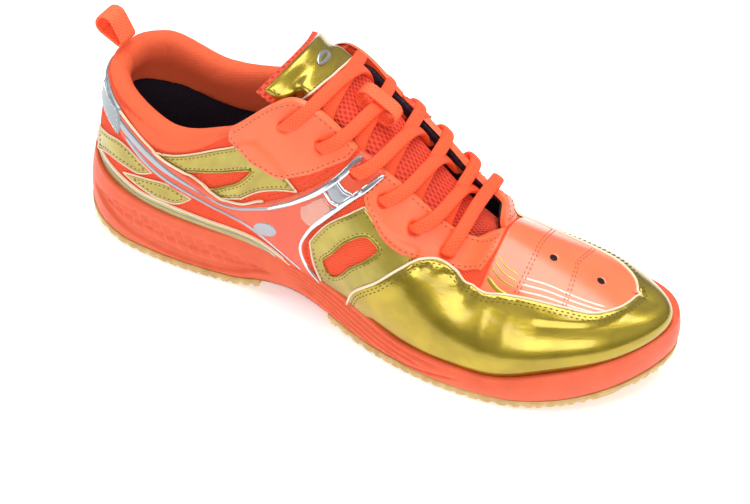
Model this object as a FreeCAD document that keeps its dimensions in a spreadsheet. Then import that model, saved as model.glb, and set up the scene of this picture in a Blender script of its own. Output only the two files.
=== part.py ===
import FreeCAD, Part
import math
import os

from FreeCAD import Placement, Rotation, Vector

# Court shoe, right foot, EU 42. Millimetres.
# +X points to the toe, -Y is the outer (lateral) side, +Z is up.
# The origin is under the middle of the sole, on the ground.

doc = FreeCAD.newDocument("court_shoe")

# ---------------------------------------------------------------- sizes

DIMENSIONS = [
    ("sole_length", 292, "sole, heel to toe"),
    ("ball_width", 101, "sole, across the ball of the foot"),
    ("sole_height", 41, "ground to the sole's rim at the back of the heel"),
    ("upper_height", 81, "rim to the tip of the tongue"),
    ("outsole_thickness", 4.5, "gum rubber tread"),
    ("shank_thickness", 2.0, "stiffening plate under the arch"),
    ("shank_width", 38, "stiffening plate under the arch"),
    ("cup_clearance", 0.45, "between the upper and the wall of the sole's cup"),
    ("board_thickness", 1.6, "board that the upper is stitched to"),
    ("board_inset", 3.4, "board edge inside the feather line"),
    ("margin_clearance", 0.8, "between the upper's turned-in edge and the board"),
    ("sockliner_thickness", 4.5, "loose cushion under the foot"),
    ("sockliner_inset", 7.0, "sockliner edge inside the feather line"),
    ("mesh_thickness", 1.2, "outer mesh of the upper"),
    ("stiffener_thickness", 0.8, "heel counter and toe puff"),
    ("lining_thickness", 1.0, "inner fabric"),
    ("panel_thickness", 1.0, "sewn-on panels"),
    ("layer_gap", 0.35, "between one layer of the upper and the next"),
    ("foam_thickness", 6.0, "collar padding"),
    ("tongue_thickness", 5.5, "padded tongue"),
    ("patch_thickness", 1.0, "sewn-on piece at the tongue's tip"),
    ("eyelet_radius", 3.6, "punched lace hole"),
    ("lace_diameter", 3.4, "lace"),
    ("lace_clearance", 0.5, "between the lace and what it passes"),
    ("aglet_radius", 1.5, "hard tip of the lace"),
    ("aglet_length", 16, "hard tip of the lace"),
    ("vent_radius", 1.3, "breathing hole over the toes"),
    ("window_width", 5.5, "slot cut in the side panels"),
    ("loop_width", 12, "pull loop tape, across the heel"),
    ("loop_tape", 1.4, "pull loop tape thickness"),
    ("loop_reach", 10, "pull loop, root to the centre of its bend"),
    ("loop_radius", 5.2, "pull loop, outside of its bend"),
    ("loop_root_radius", 2.3, "pull loop, outside of its root"),
    ("keeper_width", 8, "lace keeper tape, across the tongue"),
    ("keeper_tape", 1.1, "lace keeper tape thickness"),
    ("keeper_length", 14, "lace keeper, along the tongue"),
    ("hinge_gap", 4.5, "between the fixed and the folding tongue"),
]

sheet = doc.addObject("Spreadsheet::Sheet", "dimensions")
for row, (alias, value, meaning) in enumerate(DIMENSIONS, start=1):
    sheet.set("A%d" % row, meaning)
    sheet.set("B%d" % row, str(value))
    sheet.setAlias("B%d" % row, alias)
doc.recompute()


def size(alias):
    return float(sheet.get(alias))


# ---------------------------------------------------------------- the last
# The last is the foot form that the shoe is built round. Its stations run
# from the heel (0) over each side to the toe (1). They are drawn for the
# sample size and graded to the sizes in the sheet.

SAMPLE_LENGTH = 292
SAMPLE_WIDTH = 101
SAMPLE_SOLE = 41
SAMPLE_UPPER = 81

WIDTH_GRADE = size("ball_width") / SAMPLE_WIDTH
SOLE_GRADE = size("sole_height") / SAMPLE_SOLE
UPPER_GRADE = size("upper_height") / SAMPLE_UPPER

STATIONS = [0, .06, .14, .24, .34, .44, .54, .63, .71, .74, .77, .84, .91, .96, 1]

# The feather line is where the upper meets the sole: (from the heel, from
# the middle) at each station.
FEATHER = {
    -1: [(4, 0), (8, -15), (24, -27.5), (50, -32.5), (76, -32.5), (103, -31.5),
         (132, -34), (160, -40), (186, -45), (196, -46), (206, -46), (230, -43),
         (257, -31), (276, -15), (286, 6)],
    1: [(4, 0), (8, 15), (24, 28), (50, 30.5), (76, 27.5), (103, 25),
        (132, 28), (160, 34), (186, 41), (196, 43), (206, 44.5), (230, 45),
        (257, 37), (276, 23), (286, 6)],
}

# The top line runs round the collar, down the lacing, across the foot of
# the throat and then along the crest of the toe box: (x, y, height).
TOP_LINE = {
    -1: [(11, 0, 90), (14, -12, 90), (26, -24, 85), (54, -30, 76), (84, -31, 88),
         (116, -28, 112), (142, -24.5, 98), (168, -22, 81), (191, -18, 64.5),
         (201, -13, 60), (207, 2, 57), (226, 4, 52), (247, 5, 47), (261, 5.5, 43.5),
         (269, 6, 41)],
    1: [(11, 0, 90), (14, 12, 92), (26, 24, 91), (54, 30, 81), (84, 30, 86),
        (116, 27, 109), (142, 24, 96), (168, 22, 79), (191, 20, 63),
        (201, 17, 59.5), (207, 2, 57), (226, 4, 52), (247, 5, 47), (261, 5.5, 43.5),
        (269, 6, 41)],
}

# How a rib leaves the feather line and reaches the top line: outward lean in
# degrees and its reach, then the slope at the top in degrees and its reach.
RIBS = {
    -1: [(0, 16, 80, 14), (3, 16, 82, 14), (6, 14, 84, 14), (8, 13, 85, 13),
         (10, 15, 86, 14), (12, 26, 62, 22), (14, 26, 52, 22), (18, 24, 46, 22),
         (22, 20, 34, 18), (23, 19, 20, 17), (24, 18, 4, 22), (26, 17, 0, 24),
         (24, 15, 0, 20), (20, 13, 0, 15), (16, 12, 0, 11)],
    1: [(0, 16, 80, 14), (3, 16, 82, 14), (6, 14, 84, 14), (4, 13, 85, 13),
        (2, 15, 86, 14), (2, 24, 62, 22), (4, 24, 54, 22), (8, 22, 48, 20),
        (10, 19, 38, 16), (10, 18, 22, 15), (10, 17, 4, 17), (11, 16, 0, 16),
        (13, 15, 0, 14), (15, 13, 0, 12), (16, 12, 0, 11)],
}

# Heights along the sole: the rim that the upper meets, and the cup's floor.
RIM = [(-8, 43), (0, 41), (20, 33), (60, 28.5), (95, 28), (120, 26), (150, 22),
       (185, 14.5), (220, 13.5), (250, 20), (275, 26), (292, 31), (300, 33)]
CUP_FLOOR = [(-8, 25), (0, 24), (20, 22), (60, 21), (95, 20), (120, 18), (150, 15.5),
             (185, 10.5), (220, 9.8), (250, 14), (275, 19), (292, 24), (300, 26)]

# The sole's edge at the ground, from the heel round the outer side.
SOLE_OUTLINE = [(0, 0), (4, -17), (15, -28.5), (40, -35.5), (72, -36), (105, -33.5),
                (135, -37), (160, -43.5), (188, -49.5), (212, -50.5), (238, -46),
                (262, -34), (279, -18), (289, -2), (292, 9), (289, 22), (280, 34),
                (262, 44), (238, 49.5), (214, 50.5), (190, 48), (160, 41), (132, 32),
                (105, 28.5), (75, 31.5), (40, 34.5), (15, 28.5), (4, 17)]
SOLE_TOP_INSET = 2.4
THROAT_FOOT = 0.77
STEP = 0.004


def grade_x(x):
    return (x / SAMPLE_LENGTH - 0.5) * size("sole_length")


def grade_y(y):
    return y * WIDTH_GRADE


def smooth(knots, values):
    """Curve through hand-drawn values that never overshoots them (Fritsch-Carlson)."""
    steps = [b - a for a, b in zip(knots, knots[1:])]
    slopes = [(b - a) / h for a, b, h in zip(values, values[1:], steps)]
    tangents = [slopes[0]]
    for (before, after), (h0, h1) in zip(zip(slopes, slopes[1:]), zip(steps, steps[1:])):
        if before * after <= 0:
            tangents.append(0)
        else:
            w0 = 2 * h1 + h0
            w1 = h1 + 2 * h0
            tangents.append((w0 + w1) / (w0 / before + w1 / after))
    tangents.append(slopes[-1])

    def value(at):
        i = 0
        while i < len(steps) - 1 and at > knots[i + 1]:
            i += 1
        h = steps[i]
        r = (at - knots[i]) / h
        return ((1 + 2 * r) * (1 - r) ** 2 * values[i] + r * (1 - r) ** 2 * h * tangents[i]
                + r * r * (3 - 2 * r) * values[i + 1] + r * r * (r - 1) * h * tangents[i + 1])

    return value


def smooth_rows(knots, rows):
    columns = [smooth(knots, list(column)) for column in zip(*rows)]
    return lambda at: [column(at) for column in columns]


rim_height = smooth([x for x, z in RIM], [z * SOLE_GRADE for x, z in RIM])
floor_height = smooth([x for x, z in CUP_FLOOR], [z * SOLE_GRADE for x, z in CUP_FLOOR])


def closed_curve(points, parameters=None):
    curve = Part.BSplineCurve()
    if parameters:
        curve.interpolate(Points=points, PeriodicFlag=True, Parameters=parameters)
    else:
        curve.interpolate(Points=points, PeriodicFlag=True)
    return curve


def open_curve(points):
    curve = Part.BSplineCurve()
    curve.interpolate(Points=points)
    return curve


lateral_knots = [-s for s in reversed(STATIONS)]
feather_points = list(reversed(FEATHER[-1])) + FEATHER[1][1:-1]
feather = closed_curve([Vector(grade_x(x), grade_y(y), 0) for x, y in feather_points],
                       lateral_knots + STATIONS[1:])


def both_sides(table):
    """The two sides of a table as one list, from the toe round the heel to the toe."""
    return list(reversed(table[-1])) + table[1][1:]


def graded_top(x, y, z):
    rim = rim_height(x)
    return grade_x(x), grade_y(y), rim + (z - rim / SOLE_GRADE) * UPPER_GRADE


all_knots = lateral_knots + STATIONS[1:]
top_line = smooth_rows(all_knots, [graded_top(*row) for row in both_sides(TOP_LINE)])
ribs = smooth_rows(all_knots, both_sides(RIBS))


def last_point(q, t):
    """Point on the last: q is -1..1 round the shoe, t is 0 at the sole, 1 at the top."""
    if q < -1:
        q += 2
    if q > 1:
        q -= 2
    if t > 1 and abs(q) >= THROAT_FOOT:
        return last_point(-q, 2 - t)
    side = -1 if q < 0 else 1
    s = min(abs(q), 1)
    foot, heading = feather.getD1(q)
    foot = Vector(foot.x, foot.y, 0)
    foot.z = rim_height((foot.x / size("sole_length") + 0.5) * SAMPLE_LENGTH)
    out = Vector(-heading.y, heading.x, 0).normalize()
    lean, low_reach, slope, high_reach = ribs(side * s)
    top = Vector(*top_line(side * s))
    fall = 0
    if s > STATIONS[8]:
        a = top_line(side * min(s + STEP, 1))
        b = top_line(side * (max(s - STEP, THROAT_FOOT) if s >= THROAT_FOOT else s))
        share = min((s - STATIONS[8]) / (THROAT_FOOT - STATIONS[8]), 1)
        fall = share * (a[2] - b[2]) / max(a[0] - b[0], STEP)
    away = Vector(foot.x - top.x, foot.y - top.y, 0).normalize()
    upright = min(max((slope - 60) / 25, 0), 1)
    away = (away * (1 - upright) + out * upright).normalize()
    lean = math.radians(lean)
    slope = math.radians(slope)
    low = foot + (out * math.sin(lean) + Vector(0, 0, math.cos(lean))) * low_reach * UPPER_GRADE
    rise = -math.sin(slope) + fall * away.x
    high = top + (away * math.cos(slope) + Vector(0, 0, rise)) * high_reach * UPPER_GRADE
    r = 1 - t
    return foot * r ** 3 + low * 3 * r * r * t + high * 3 * r * t * t + top * t ** 3


def upper_point(q, t, offset=0):
    """Point on the upper at a distance outside the last."""
    point = last_point(q, t)
    along = last_point(q + STEP, t) - last_point(q - STEP, t)
    across = last_point(q, t + STEP) - last_point(q, t - STEP)
    normal = across.cross(along)
    if normal.Length < 1e-6 or along.Length < 0.01:
        normal = Vector(0.28, 0, 1)
    return point + normal.normalize() * offset


def upper_normal(q, t):
    return (upper_point(q, t, 1) - last_point(q, t)).normalize()


# ---------------------------------------------------------------- layers

GAP = size("layer_gap")
mesh_inside = -size("mesh_thickness")
stiffener_outside = mesh_inside - 2 * GAP
stiffener_inside = stiffener_outside - size("stiffener_thickness")
lining_outside = stiffener_inside - GAP
lining_inside = lining_outside - size("lining_thickness")
foam_outside = mesh_inside - 2 * GAP
foam_inside = foam_outside - size("foam_thickness")
collar_lining_outside = foam_inside - GAP
collar_lining_inside = collar_lining_outside - size("lining_thickness")


def panel_layer(number):
    low = GAP + (number - 1) * (size("panel_thickness") + GAP)
    return low, low + size("panel_thickness")


# ---------------------------------------------------------------- makers

nodes = []


def finish(label, thing):
    thing.Label = label
    nodes.append(thing)
    return thing


def feature(name, shape):
    thing = doc.addObject("Part::Feature", name)
    thing.Shape = shape
    return thing


def surface(grid):
    skin = Part.BSplineSurface()
    skin.interpolate(grid)
    return skin


def solid_between(outer_grid, inner_grid):
    """Closed solid between two matching grids of points."""
    outer = surface(outer_grid)
    inner = surface(inner_grid)
    faces = [outer.toShape(), inner.toShape()]
    u0, u1, v0, v1 = outer.bounds()
    a0, a1, b0, b1 = inner.bounds()
    edges = [(outer.uIso(u0), inner.uIso(a0)), (outer.uIso(u1), inner.uIso(a1)),
             (outer.vIso(v0), inner.vIso(b0)), (outer.vIso(v1), inner.vIso(b1))]
    for outer_edge, inner_edge in edges:
        faces.append(Part.makeRuledSurface(outer_edge.toShape(), inner_edge.toShape(), 1))
    shell = Part.Shell(faces)
    shell.sewShape()
    solid = Part.Solid(shell)
    if solid.Volume < 0:
        solid.reverse()
    return solid


def rung_grid(rungs, offset, along, across):
    """Points over a panel. A rung is (q, t) at one edge and (q, t) at the other."""
    knots = list(range(len(rungs)))
    edge = smooth_rows(knots, [list(a) + list(b) for a, b in rungs])
    grid = []
    for i in range(along + 1):
        q0, t0, q1, t1 = edge(i * knots[-1] / along)
        row = []
        for j in range(across + 1):
            r = j / across
            row.append(upper_point(q0 + (q1 - q0) * r, t0 + (t1 - t0) * r, offset))
        grid.append(row)
    return grid


def panel_shape(rungs, inside, outside, along=24, across=6):
    return solid_between(rung_grid(rungs, outside, along, across),
                         rung_grid(rungs, inside, along, across))


def mirrored(rungs):
    return [((-a[0], a[1]), (-b[0], b[1])) for a, b in rungs]


def margin(q):
    """Where the upper's lasting margin ends: just above the board in the cup."""
    foot = feather.value(q)
    x = (foot.x / size("sole_length") + 0.5) * SAMPLE_LENGTH
    lean, reach, slope, high_reach = ribs(q)
    drop = rim_height(x) - floor_height(x) - size("board_thickness")
    drop -= size("margin_clearance")
    return -drop / (3 * reach * UPPER_GRADE * math.cos(math.radians(lean)))


def sketch(name, edges, upright=False):
    drawn = doc.addObject("Sketcher::SketchObject", name)
    for edge in edges:
        drawn.addGeometry(edge, False)
    if upright:
        drawn.Placement = Placement(Vector(), Rotation(Vector(1, 0, 0), 90))
    return drawn


def extruded(name, base, direction, forward, backward=0):
    block = doc.addObject("Part::Extrusion", name)
    block.Base = base
    block.DirMode = "Custom"
    block.Dir = direction
    block.LengthFwd = forward
    block.LengthRev = backward
    block.Solid = True
    return block


def boolean(kind, name, base, tool):
    thing = doc.addObject("Part::" + kind, name)
    thing.Base = base
    thing.Tool = tool
    return thing


# ---------------------------------------------------------------- sole unit

DEEP = size("ball_width")
TALL = size("sole_height") + size("outsole_thickness")

# Ground line: curves and flats from heel to toe, (from the heel, height).
HEEL_BEVEL = [(-8, 15), (0, 9), (9, 5.2), (20, 2.2), (35, 0)]
HEEL_LIFT = [(86, 0), (95, 1), (104, 3.4)]
ARCH = [(104, 3.4), (123, 6), (142, 3.4)]
BALL_START = [(142, 3.4), (155, 1.2), (170, 0)]
TOE_SPRING = [(232, 0), (252, 1.8), (275, 6.2), (292, 11.5), (300, 14.6)]


def side_view(points, lift=0):
    return [Vector(grade_x(x), z * SOLE_GRADE + lift, 0) for x, z in points]


def ground_edges(first, last, lift):
    """Edges of the ground line from one named stretch to another, lifted."""
    stretches = [HEEL_BEVEL, [HEEL_BEVEL[-1], HEEL_LIFT[0]], HEEL_LIFT, ARCH, BALL_START,
                 [BALL_START[-1], TOE_SPRING[0]], TOE_SPRING]
    edges = []
    for stretch in stretches[first:last + 1]:
        points = side_view(stretch, lift)
        if len(points) == 2:
            edges.append(Part.LineSegment(points[0], points[1]))
        else:
            edges.append(open_curve(points))
    return edges


def ends(edges):
    first = edges[0]
    last = edges[-1]
    return first.value(first.FirstParameter), last.value(last.LastParameter)


def band(name, low_edges, high_edges):
    """Side-view band between two lines, through the whole width of the shoe."""
    low_start, low_end = ends(low_edges)
    high_start, high_end = ends(high_edges)
    closing = [Part.LineSegment(low_start, high_start), Part.LineSegment(low_end, high_end)]
    drawn = sketch(name + "_sketch", low_edges + high_edges + closing, upright=True)
    return extruded(name, drawn, Vector(0, 1, 0), DEEP, DEEP)


def height_edge(height, first, last, lift=0, count=24):
    points = []
    for i in range(count + 1):
        x = first + (last - first) * i / count
        points.append(Vector(grade_x(x), height(x) + lift, 0))
    return [open_curve(points)]


def flat_edge(first, last, z):
    return [Part.LineSegment(Vector(grade_x(first), z, 0), Vector(grade_x(last), z, 0))]


def inset_outline(curve_point, inset, count=44):
    return closed_curve([curve_point(i / count, inset) for i in range(count)])


outline = closed_curve([Vector(grade_x(x), grade_y(y), 0) for x, y in SOLE_OUTLINE])


def outline_point(share, inset):
    low = outline.FirstParameter
    high = outline.LastParameter
    point, heading = outline.getD1(low + (high - low) * share)
    inward = Vector(-heading.y, heading.x, 0).normalize()
    return Vector(point.x, point.y, 0) + inward * inset


def feather_point(share, inset):
    point, heading = feather.getD1(-1 + 2 * share)
    inward = Vector(heading.y, -heading.x, 0).normalize()
    return Vector(point.x, point.y, 0) + inward * inset


def outline_block(name, curve, height):
    drawn = sketch(name + "_sketch", [curve])
    return extruded(name, drawn, Vector(0, 0, 1), height)


OUTSOLE = size("outsole_thickness")
heel_block = outline_block("heel_block", outline, TALL)
heel_band = band("heel_band", ground_edges(0, 2, 0), ground_edges(0, 2, OUTSOLE))
finish("outsole_heel", boolean("Common", "outsole_heel", heel_block, heel_band))

ball_block = outline_block("ball_block", outline, TALL)
ball_band = band("ball_band", ground_edges(4, 6, 0), ground_edges(4, 6, OUTSOLE))
finish("outsole_forefoot", boolean("Common", "outsole_forefoot", ball_block, ball_band))

foot_sketch = sketch("midsole_foot_sketch", [outline])
rim_sketch = sketch("midsole_rim_sketch", [inset_outline(outline_point, SOLE_TOP_INSET)])
rim_sketch.Placement = Placement(Vector(0, 0, TALL), Rotation())
midsole_loft = doc.addObject("Part::Loft", "midsole_loft")
midsole_loft.Sections = [foot_sketch, rim_sketch]
midsole_loft.Solid = True
midsole_loft.Ruled = True
midsole_band = band("midsole_band", ground_edges(0, 6, OUTSOLE),
                    height_edge(rim_height, -8, 300))
midsole_whole = boolean("Common", "midsole_whole", midsole_loft, midsole_band)
cup_block = outline_block("cup_block", inset_outline(feather_point, -size("cup_clearance")),
                          2 * TALL)
cup_band = band("cup_band", height_edge(floor_height, -8, 300), flat_edge(-8, 300, 2 * TALL))
cup = boolean("Common", "cup", cup_block, cup_band)
finish("midsole", boolean("Cut", "midsole", midsole_whole, cup))

# The plate under the arch fills the gap between the two treads.
shank = doc.addObject("PartDesign::Body", "arch_shank_body")
shank_sketch = shank.newObject("Sketcher::SketchObject", "shank_sketch")
side_plane = [p for p in shank.Origin.OriginFeatures if p.Role == "XZ_Plane"][0]
shank_sketch.AttachmentSupport = [(side_plane, "")]
shank_sketch.MapMode = "FlatFace"
shank_top = ground_edges(3, 3, OUTSOLE)
shank_low = ground_edges(3, 3, OUTSOLE - size("shank_thickness"))
shank_ends = zip(ends(shank_low), ends(shank_top))
for edge in shank_top + shank_low + [Part.LineSegment(a, b) for a, b in shank_ends]:
    shank_sketch.addGeometry(edge, False)
shank_pad = shank.newObject("PartDesign::Pad", "shank_pad")
shank_pad.Profile = shank_sketch
shank_pad.Midplane = True
shank_pad.setExpression("Length", "dimensions.shank_width")
finish("arch_shank", shank)

BOARD = size("board_thickness")
board_block = outline_block("board_block",
                            inset_outline(feather_point, size("board_inset")), 2 * TALL)
board_band = band("board_band", height_edge(floor_height, -8, 300),
                  height_edge(floor_height, -8, 300, BOARD))
finish("strobel_board", boolean("Common", "strobel_board", board_block, board_band))

SOCK_LOW = BOARD + GAP
SOCK_HIGH = SOCK_LOW + size("sockliner_thickness")
sock_block = outline_block("sock_block",
                           inset_outline(feather_point, size("sockliner_inset")), 2 * TALL)
sock_band = band("sock_band", height_edge(floor_height, -8, 300, SOCK_LOW),
                 height_edge(floor_height, -8, 300, SOCK_HIGH))
finish("sockliner", boolean("Common", "sockliner", sock_block, sock_band))

# ---------------------------------------------------------------- lacing places

# Eyelets from the foot of the throat up: (station, height share up the rib).
EYELETS = [(.715, .80), (.665, .82), (.615, .83), (.567, .85), (.510, .83), (.445, .80)]


def punch(name, side, chosen, radius, places):
    """Drill through the upper at each chosen place, along the upper's normal."""
    drills = []
    for number in chosen:
        q, t = places[number]
        drill = doc.addObject("Part::Cylinder", "%s_%d" % (name, number + 1))
        drill.setExpression("Radius", "dimensions." + radius)
        normal = upper_normal(side * q, t)
        reach = size("foam_thickness")
        drill.Height = 3 * reach
        start = upper_point(side * q, t, -1.5 * reach)
        drill.Placement = Placement(start, Rotation(Vector(0, 0, 1), normal))
        drills.append(drill)
    if len(drills) == 1:
        return drills[0]
    group = doc.addObject("Part::Compound", name)
    group.Links = drills
    return group


# ---------------------------------------------------------------- upper, base layers

HEEL_TO_THROAT = [0, .003, .012, .035, .07, .12, .2, .28, .36, .44, .52, .6, .68, .74,
                  THROAT_FOOT]


def side_rungs(side, stations, top, bottom=margin):
    return [((side * s, bottom(side * s)), (side * s, top(s))) for s in stations]


def one(s):
    return 1


for side, word in ((-1, "lateral"), (1, "medial")):
    holes = punch("eyelets_" + word, side, range(len(EYELETS)), "eyelet_radius", EYELETS)
    rungs = side_rungs(side, HEEL_TO_THROAT, one)
    cloth = feature("quarter_%s_cloth" % word, panel_shape(rungs, mesh_inside, 0, 70, 12))
    finish("quarter_mesh_" + word, boolean("Cut", "quarter_mesh_" + word, cloth, holes))

    lining_top = smooth([0, .36, .44, .5, THROAT_FOOT], [.55, .55, .8, 1, 1])
    rungs = side_rungs(side, HEEL_TO_THROAT, lining_top)
    cloth = feature("lining_%s_cloth" % word,
                    panel_shape(rungs, lining_inside, lining_outside, 56, 10))
    finish("lining_" + word, boolean("Cut", "lining_" + word, cloth, holes))

TOE_STATIONS = [THROAT_FOOT + .003, .80, .83, .86, .89, .92, .95, .97, .985]


def toe_grid(stations, low, offset, across=24):
    """Points over the toe box, from one side over the crest to the other."""
    grid = []
    for s in stations:
        row = []
        for j in range(across + 1):
            r = 2 * j / across
            start = low(-s) if r <= 1 else low(s)
            q = -s if r <= 1 else s
            t = start + (1 - start) * (r if r <= 1 else 2 - r)
            row.append(upper_point(q, t, offset))
        grid.append(row)
    return grid


def toe_shape(stations, low, inside, outside):
    return solid_between(toe_grid(stations, low, outside), toe_grid(stations, low, inside))


finish("vamp_mesh", feature("vamp_mesh", toe_shape(TOE_STATIONS, margin, mesh_inside, 0)))
finish("vamp_lining", feature("vamp_lining", toe_shape(TOE_STATIONS, margin, lining_inside,
                                                       lining_outside)))

PUFF = [.90, .93, .965, 1.0, 1.035, 1.07, 1.10]
puff_rungs = [((-q, .02), (-q, .46)) for q in PUFF]
finish("toe_puff", feature("toe_puff", panel_shape(puff_rungs, stiffener_inside,
                                                   stiffener_outside, 24, 6)))

COUNTER = [-.24, -.18, -.12, -.06, 0, .06, .12, .18, .24]
counter_top = smooth([0, .12, .24], [.55, .5, .2])
counter_rungs = [((q, 0), (q, counter_top(abs(q)))) for q in COUNTER]
finish("heel_counter", feature("heel_counter", panel_shape(counter_rungs, stiffener_inside,
                                                           stiffener_outside, 40, 6)))

COLLAR = [-.38, -.34, -.3, -.24, -.17, -.1, -.05, 0, .05, .1, .17, .24, .3, .34, .38]
collar_foot = smooth([0, .1, .24, .34, .38], [.6, .6, .6, .66, .86])
collar_rungs = [((q, collar_foot(abs(q))), (q, 1)) for q in COLLAR]
finish("collar_padding", feature("collar_padding", panel_shape(collar_rungs, foam_inside,
                                                               foam_outside, 60, 6)))
finish("collar_lining", feature("collar_lining",
                                panel_shape(collar_rungs, collar_lining_inside,
                                            collar_lining_outside, 60, 6)))

# ---------------------------------------------------------------- upper, sewn-on panels

CAP_TOP = [(.605, .05), (.65, .37), (.675, .6), (.69, .73), (.72, .75), (.745, .65),
           (.78, .58), (.81, .62), (.845, .64), (.89, .61), (.92, .6), (.95, .68),
           (.98, .85), (1.0, .88)]
cap_top = smooth([s for s, t in CAP_TOP], [t for s, t in CAP_TOP])
CAP_FOOT = .07
CAP_HALF = [.62, .65, .68, .70, .73, .76, .80, .85, .90, .95]
cap_stations = [-s for s in CAP_HALF] + [-1] + [-2 + s for s in reversed(CAP_HALF)]
cap_rungs = [((q, CAP_FOOT), (q, cap_top(abs(q) if q >= -1 else 2 + q))) for q in cap_stations]
finish("toe_cap", feature("toe_cap", panel_shape(cap_rungs, *panel_layer(2), 60, 8)))

VENTS = [(.858, .94), (.93, .93)]
vamp_low = smooth([THROAT_FOOT, .81, .85, .9, .95], [.5, .52, .54, .52, .62])
vamp_stations = [THROAT_FOOT + .005, .80, .84, .88, .92, .955]
vamp_skin = feature("vamp_skin", toe_shape(vamp_stations, lambda q: vamp_low(abs(q)),
                                           *panel_layer(1)))
vents = punch("vents", -1, range(len(VENTS)), "vent_radius", VENTS)
finish("vamp_panel", boolean("Cut", "vamp_panel", vamp_skin, vents))

UPPER_STAY = [((.345, .985), (.348, .90)), ((.37, .985), (.365, .76)), ((.40, .985), (.40, .62)),
              ((.43, .985), (.435, .53)), ((.46, .985), (.46, .51)), ((.49, .985), (.49, .57)),
              ((.52, .985), (.515, .67)), ((.545, .985), (.54, .81))]
LOWER_STAY = [((.588, .985), (.585, .76)), ((.61, .985), (.61, .68)), ((.635, .985), (.64, .64)),
              ((.665, .985), (.67, .67)), ((.69, .985), (.70, .76)), ((.71, .985), (.725, .80)),
              ((.74, .985), (.745, .88))]
WING = [((.10, .62), (.11, .78)), ((.165, .55), (.155, .80)), ((.21, .46), (.20, .72)),
        ((.25, .39), (.24, .65)), ((.29, .32), (.295, .53)), ((.355, .23), (.335, .41)),
        ((.41, .13), (.38, .32)), ((.465, .05), (.43, .32)), ((.505, .04), (.465, .37)),
        ((.515, .16), (.49, .46)), ((.525, .30), (.508, .54)), ((.547, .47), (.528, .66)),
        ((.572, .66), (.545, .77)), ((.582, .80), (.555, .86)), ((.597, .97), (.562, .96))]
SIDE_PANEL = [((.545, .03), (.62, .04)), ((.535, .1), (.64, .2)), ((.53, .2), (.655, .36)),
              ((.54, .3), (.665, .5)), ((.565, .46), (.665, .62)), ((.59, .64), (.655, .68))]
REAR_BAND = [((.215, .47), (.215, .52)), ((.24, .42), (.243, .65)), ((.27, .38), (.27, .70)),
             ((.335, .36), (.32, .755)), ((.39, .35), (.37, .74)), ((.425, .38), (.42, .60)),
             ((.455, .43), (.46, .53))]
LOW_BAND = [((.085, .12), (.085, .29)), ((.13, .22), (.13, .42)), ((.17, .20), (.17, .46)),
            ((.21, .16), (.21, .43)), ((.26, .15), (.25, .36)), ((.30, .14), (.30, .29)),
            ((.35, .12), (.35, .21))]
SLOTS = {"rear_band": ((.30, .48), (.392, .51)), "low_band": ((.155, .30), (.27, .26)),
         "side_panel": ((.575, .22), (.622, .52))}


def slot_cutters(name, side, ends_of_slot):
    """Drill path through a panel between two places on the upper, and its round ends."""
    (q0, t0), (q1, t1) = ends_of_slot
    radius = size("window_width") / 2
    reach = size("foam_thickness")
    steps = 8
    places = [(q0 + (q1 - q0) * i / steps, t0 + (t1 - t0) * i / steps) for i in range(steps + 1)]
    layers = []
    for offset in (-reach, reach):
        line = [upper_point(side * q, t, offset) for q, t in places]
        layer = []
        for i, (q, t) in enumerate(places):
            ahead = line[min(i + 1, steps)] - line[max(i - 1, 0)]
            sideways = upper_normal(side * q, t).cross(ahead).normalize() * radius
            layer.append([line[i] - sideways, line[i], line[i] + sideways])
        layers.append(layer)
    path = feature(name + "_path", solid_between(layers[1], layers[0]))
    round_ends = doc.addObject("Part::Compound", name + "_ends")
    drills = []
    for number, (q, t) in enumerate((places[0], places[-1])):
        drill = doc.addObject("Part::Cylinder", "%s_end_%d" % (name, number + 1))
        drill.setExpression("Radius", "dimensions.window_width / 2")
        drill.Height = 2 * reach
        start = upper_point(side * q, t, -reach)
        drill.Placement = Placement(start, Rotation(Vector(0, 0, 1), upper_normal(side * q, t)))
        drills.append(drill)
    round_ends.Links = drills
    return path, round_ends


def side_panel(label, side, rungs, layer, along=26, across=6):
    placed = rungs if side > 0 else mirrored(rungs)
    return feature(label, panel_shape(placed, *panel_layer(layer), along, across))


UPPER_HOLES = [4, 5]
LOWER_HOLES = [0, 1, 2]
FORK_HOLE = [3]
for side, word in ((-1, "lateral"), (1, "medial")):
    for name, rungs, layer in (("rear_band", REAR_BAND, 1), ("low_band", LOW_BAND, 1),
                               ("side_panel", SIDE_PANEL, 1)):
        skin = side_panel("%s_%s_skin" % (name, word), side, rungs, layer)
        label = "%s_%s" % (name, word)
        path, round_ends = slot_cutters(label + "_window", side, SLOTS[name])
        slotted = boolean("Cut", label + "_slotted", skin, path)
        finish(label, boolean("Cut", label, slotted, round_ends))
    for name, rungs, layer, chosen in (("eyestay_upper", UPPER_STAY, 2, UPPER_HOLES),
                                       ("eyestay_lower", LOWER_STAY, 2, LOWER_HOLES),
                                       ("support_wing", WING, 3, FORK_HOLE)):
        label = "%s_%s" % (name, word)
        skin = side_panel(label + "_skin", side, rungs, layer)
        holes = punch(label + "_holes", side, chosen, "eyelet_radius", EYELETS)
        finish(label, boolean("Cut", label, skin, holes))

RAND = [.43, .36, .28, .20, .13, .07, .03]
rand_top = smooth([0, .07, .14, .20, .26, .34, .43], [.10, .09, .13, .12, .12, .10, .07])
rand_stations = [-s for s in RAND] + [0] + list(reversed(RAND))
rand_rungs = [((q, .02), (q, rand_top(abs(q)))) for q in rand_stations]
finish("heel_rand", feature("heel_rand", panel_shape(rand_rungs, *panel_layer(1), 36, 4)))

TAPE = [-.095, -.06, -.03, 0, .03, .06, .095]
tape_rungs = [((q, .50), (q, .78)) for q in TAPE]
finish("heel_tape", feature("heel_tape", panel_shape(tape_rungs, *panel_layer(3), 16, 5)))

# ---------------------------------------------------------------- tongue

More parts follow.
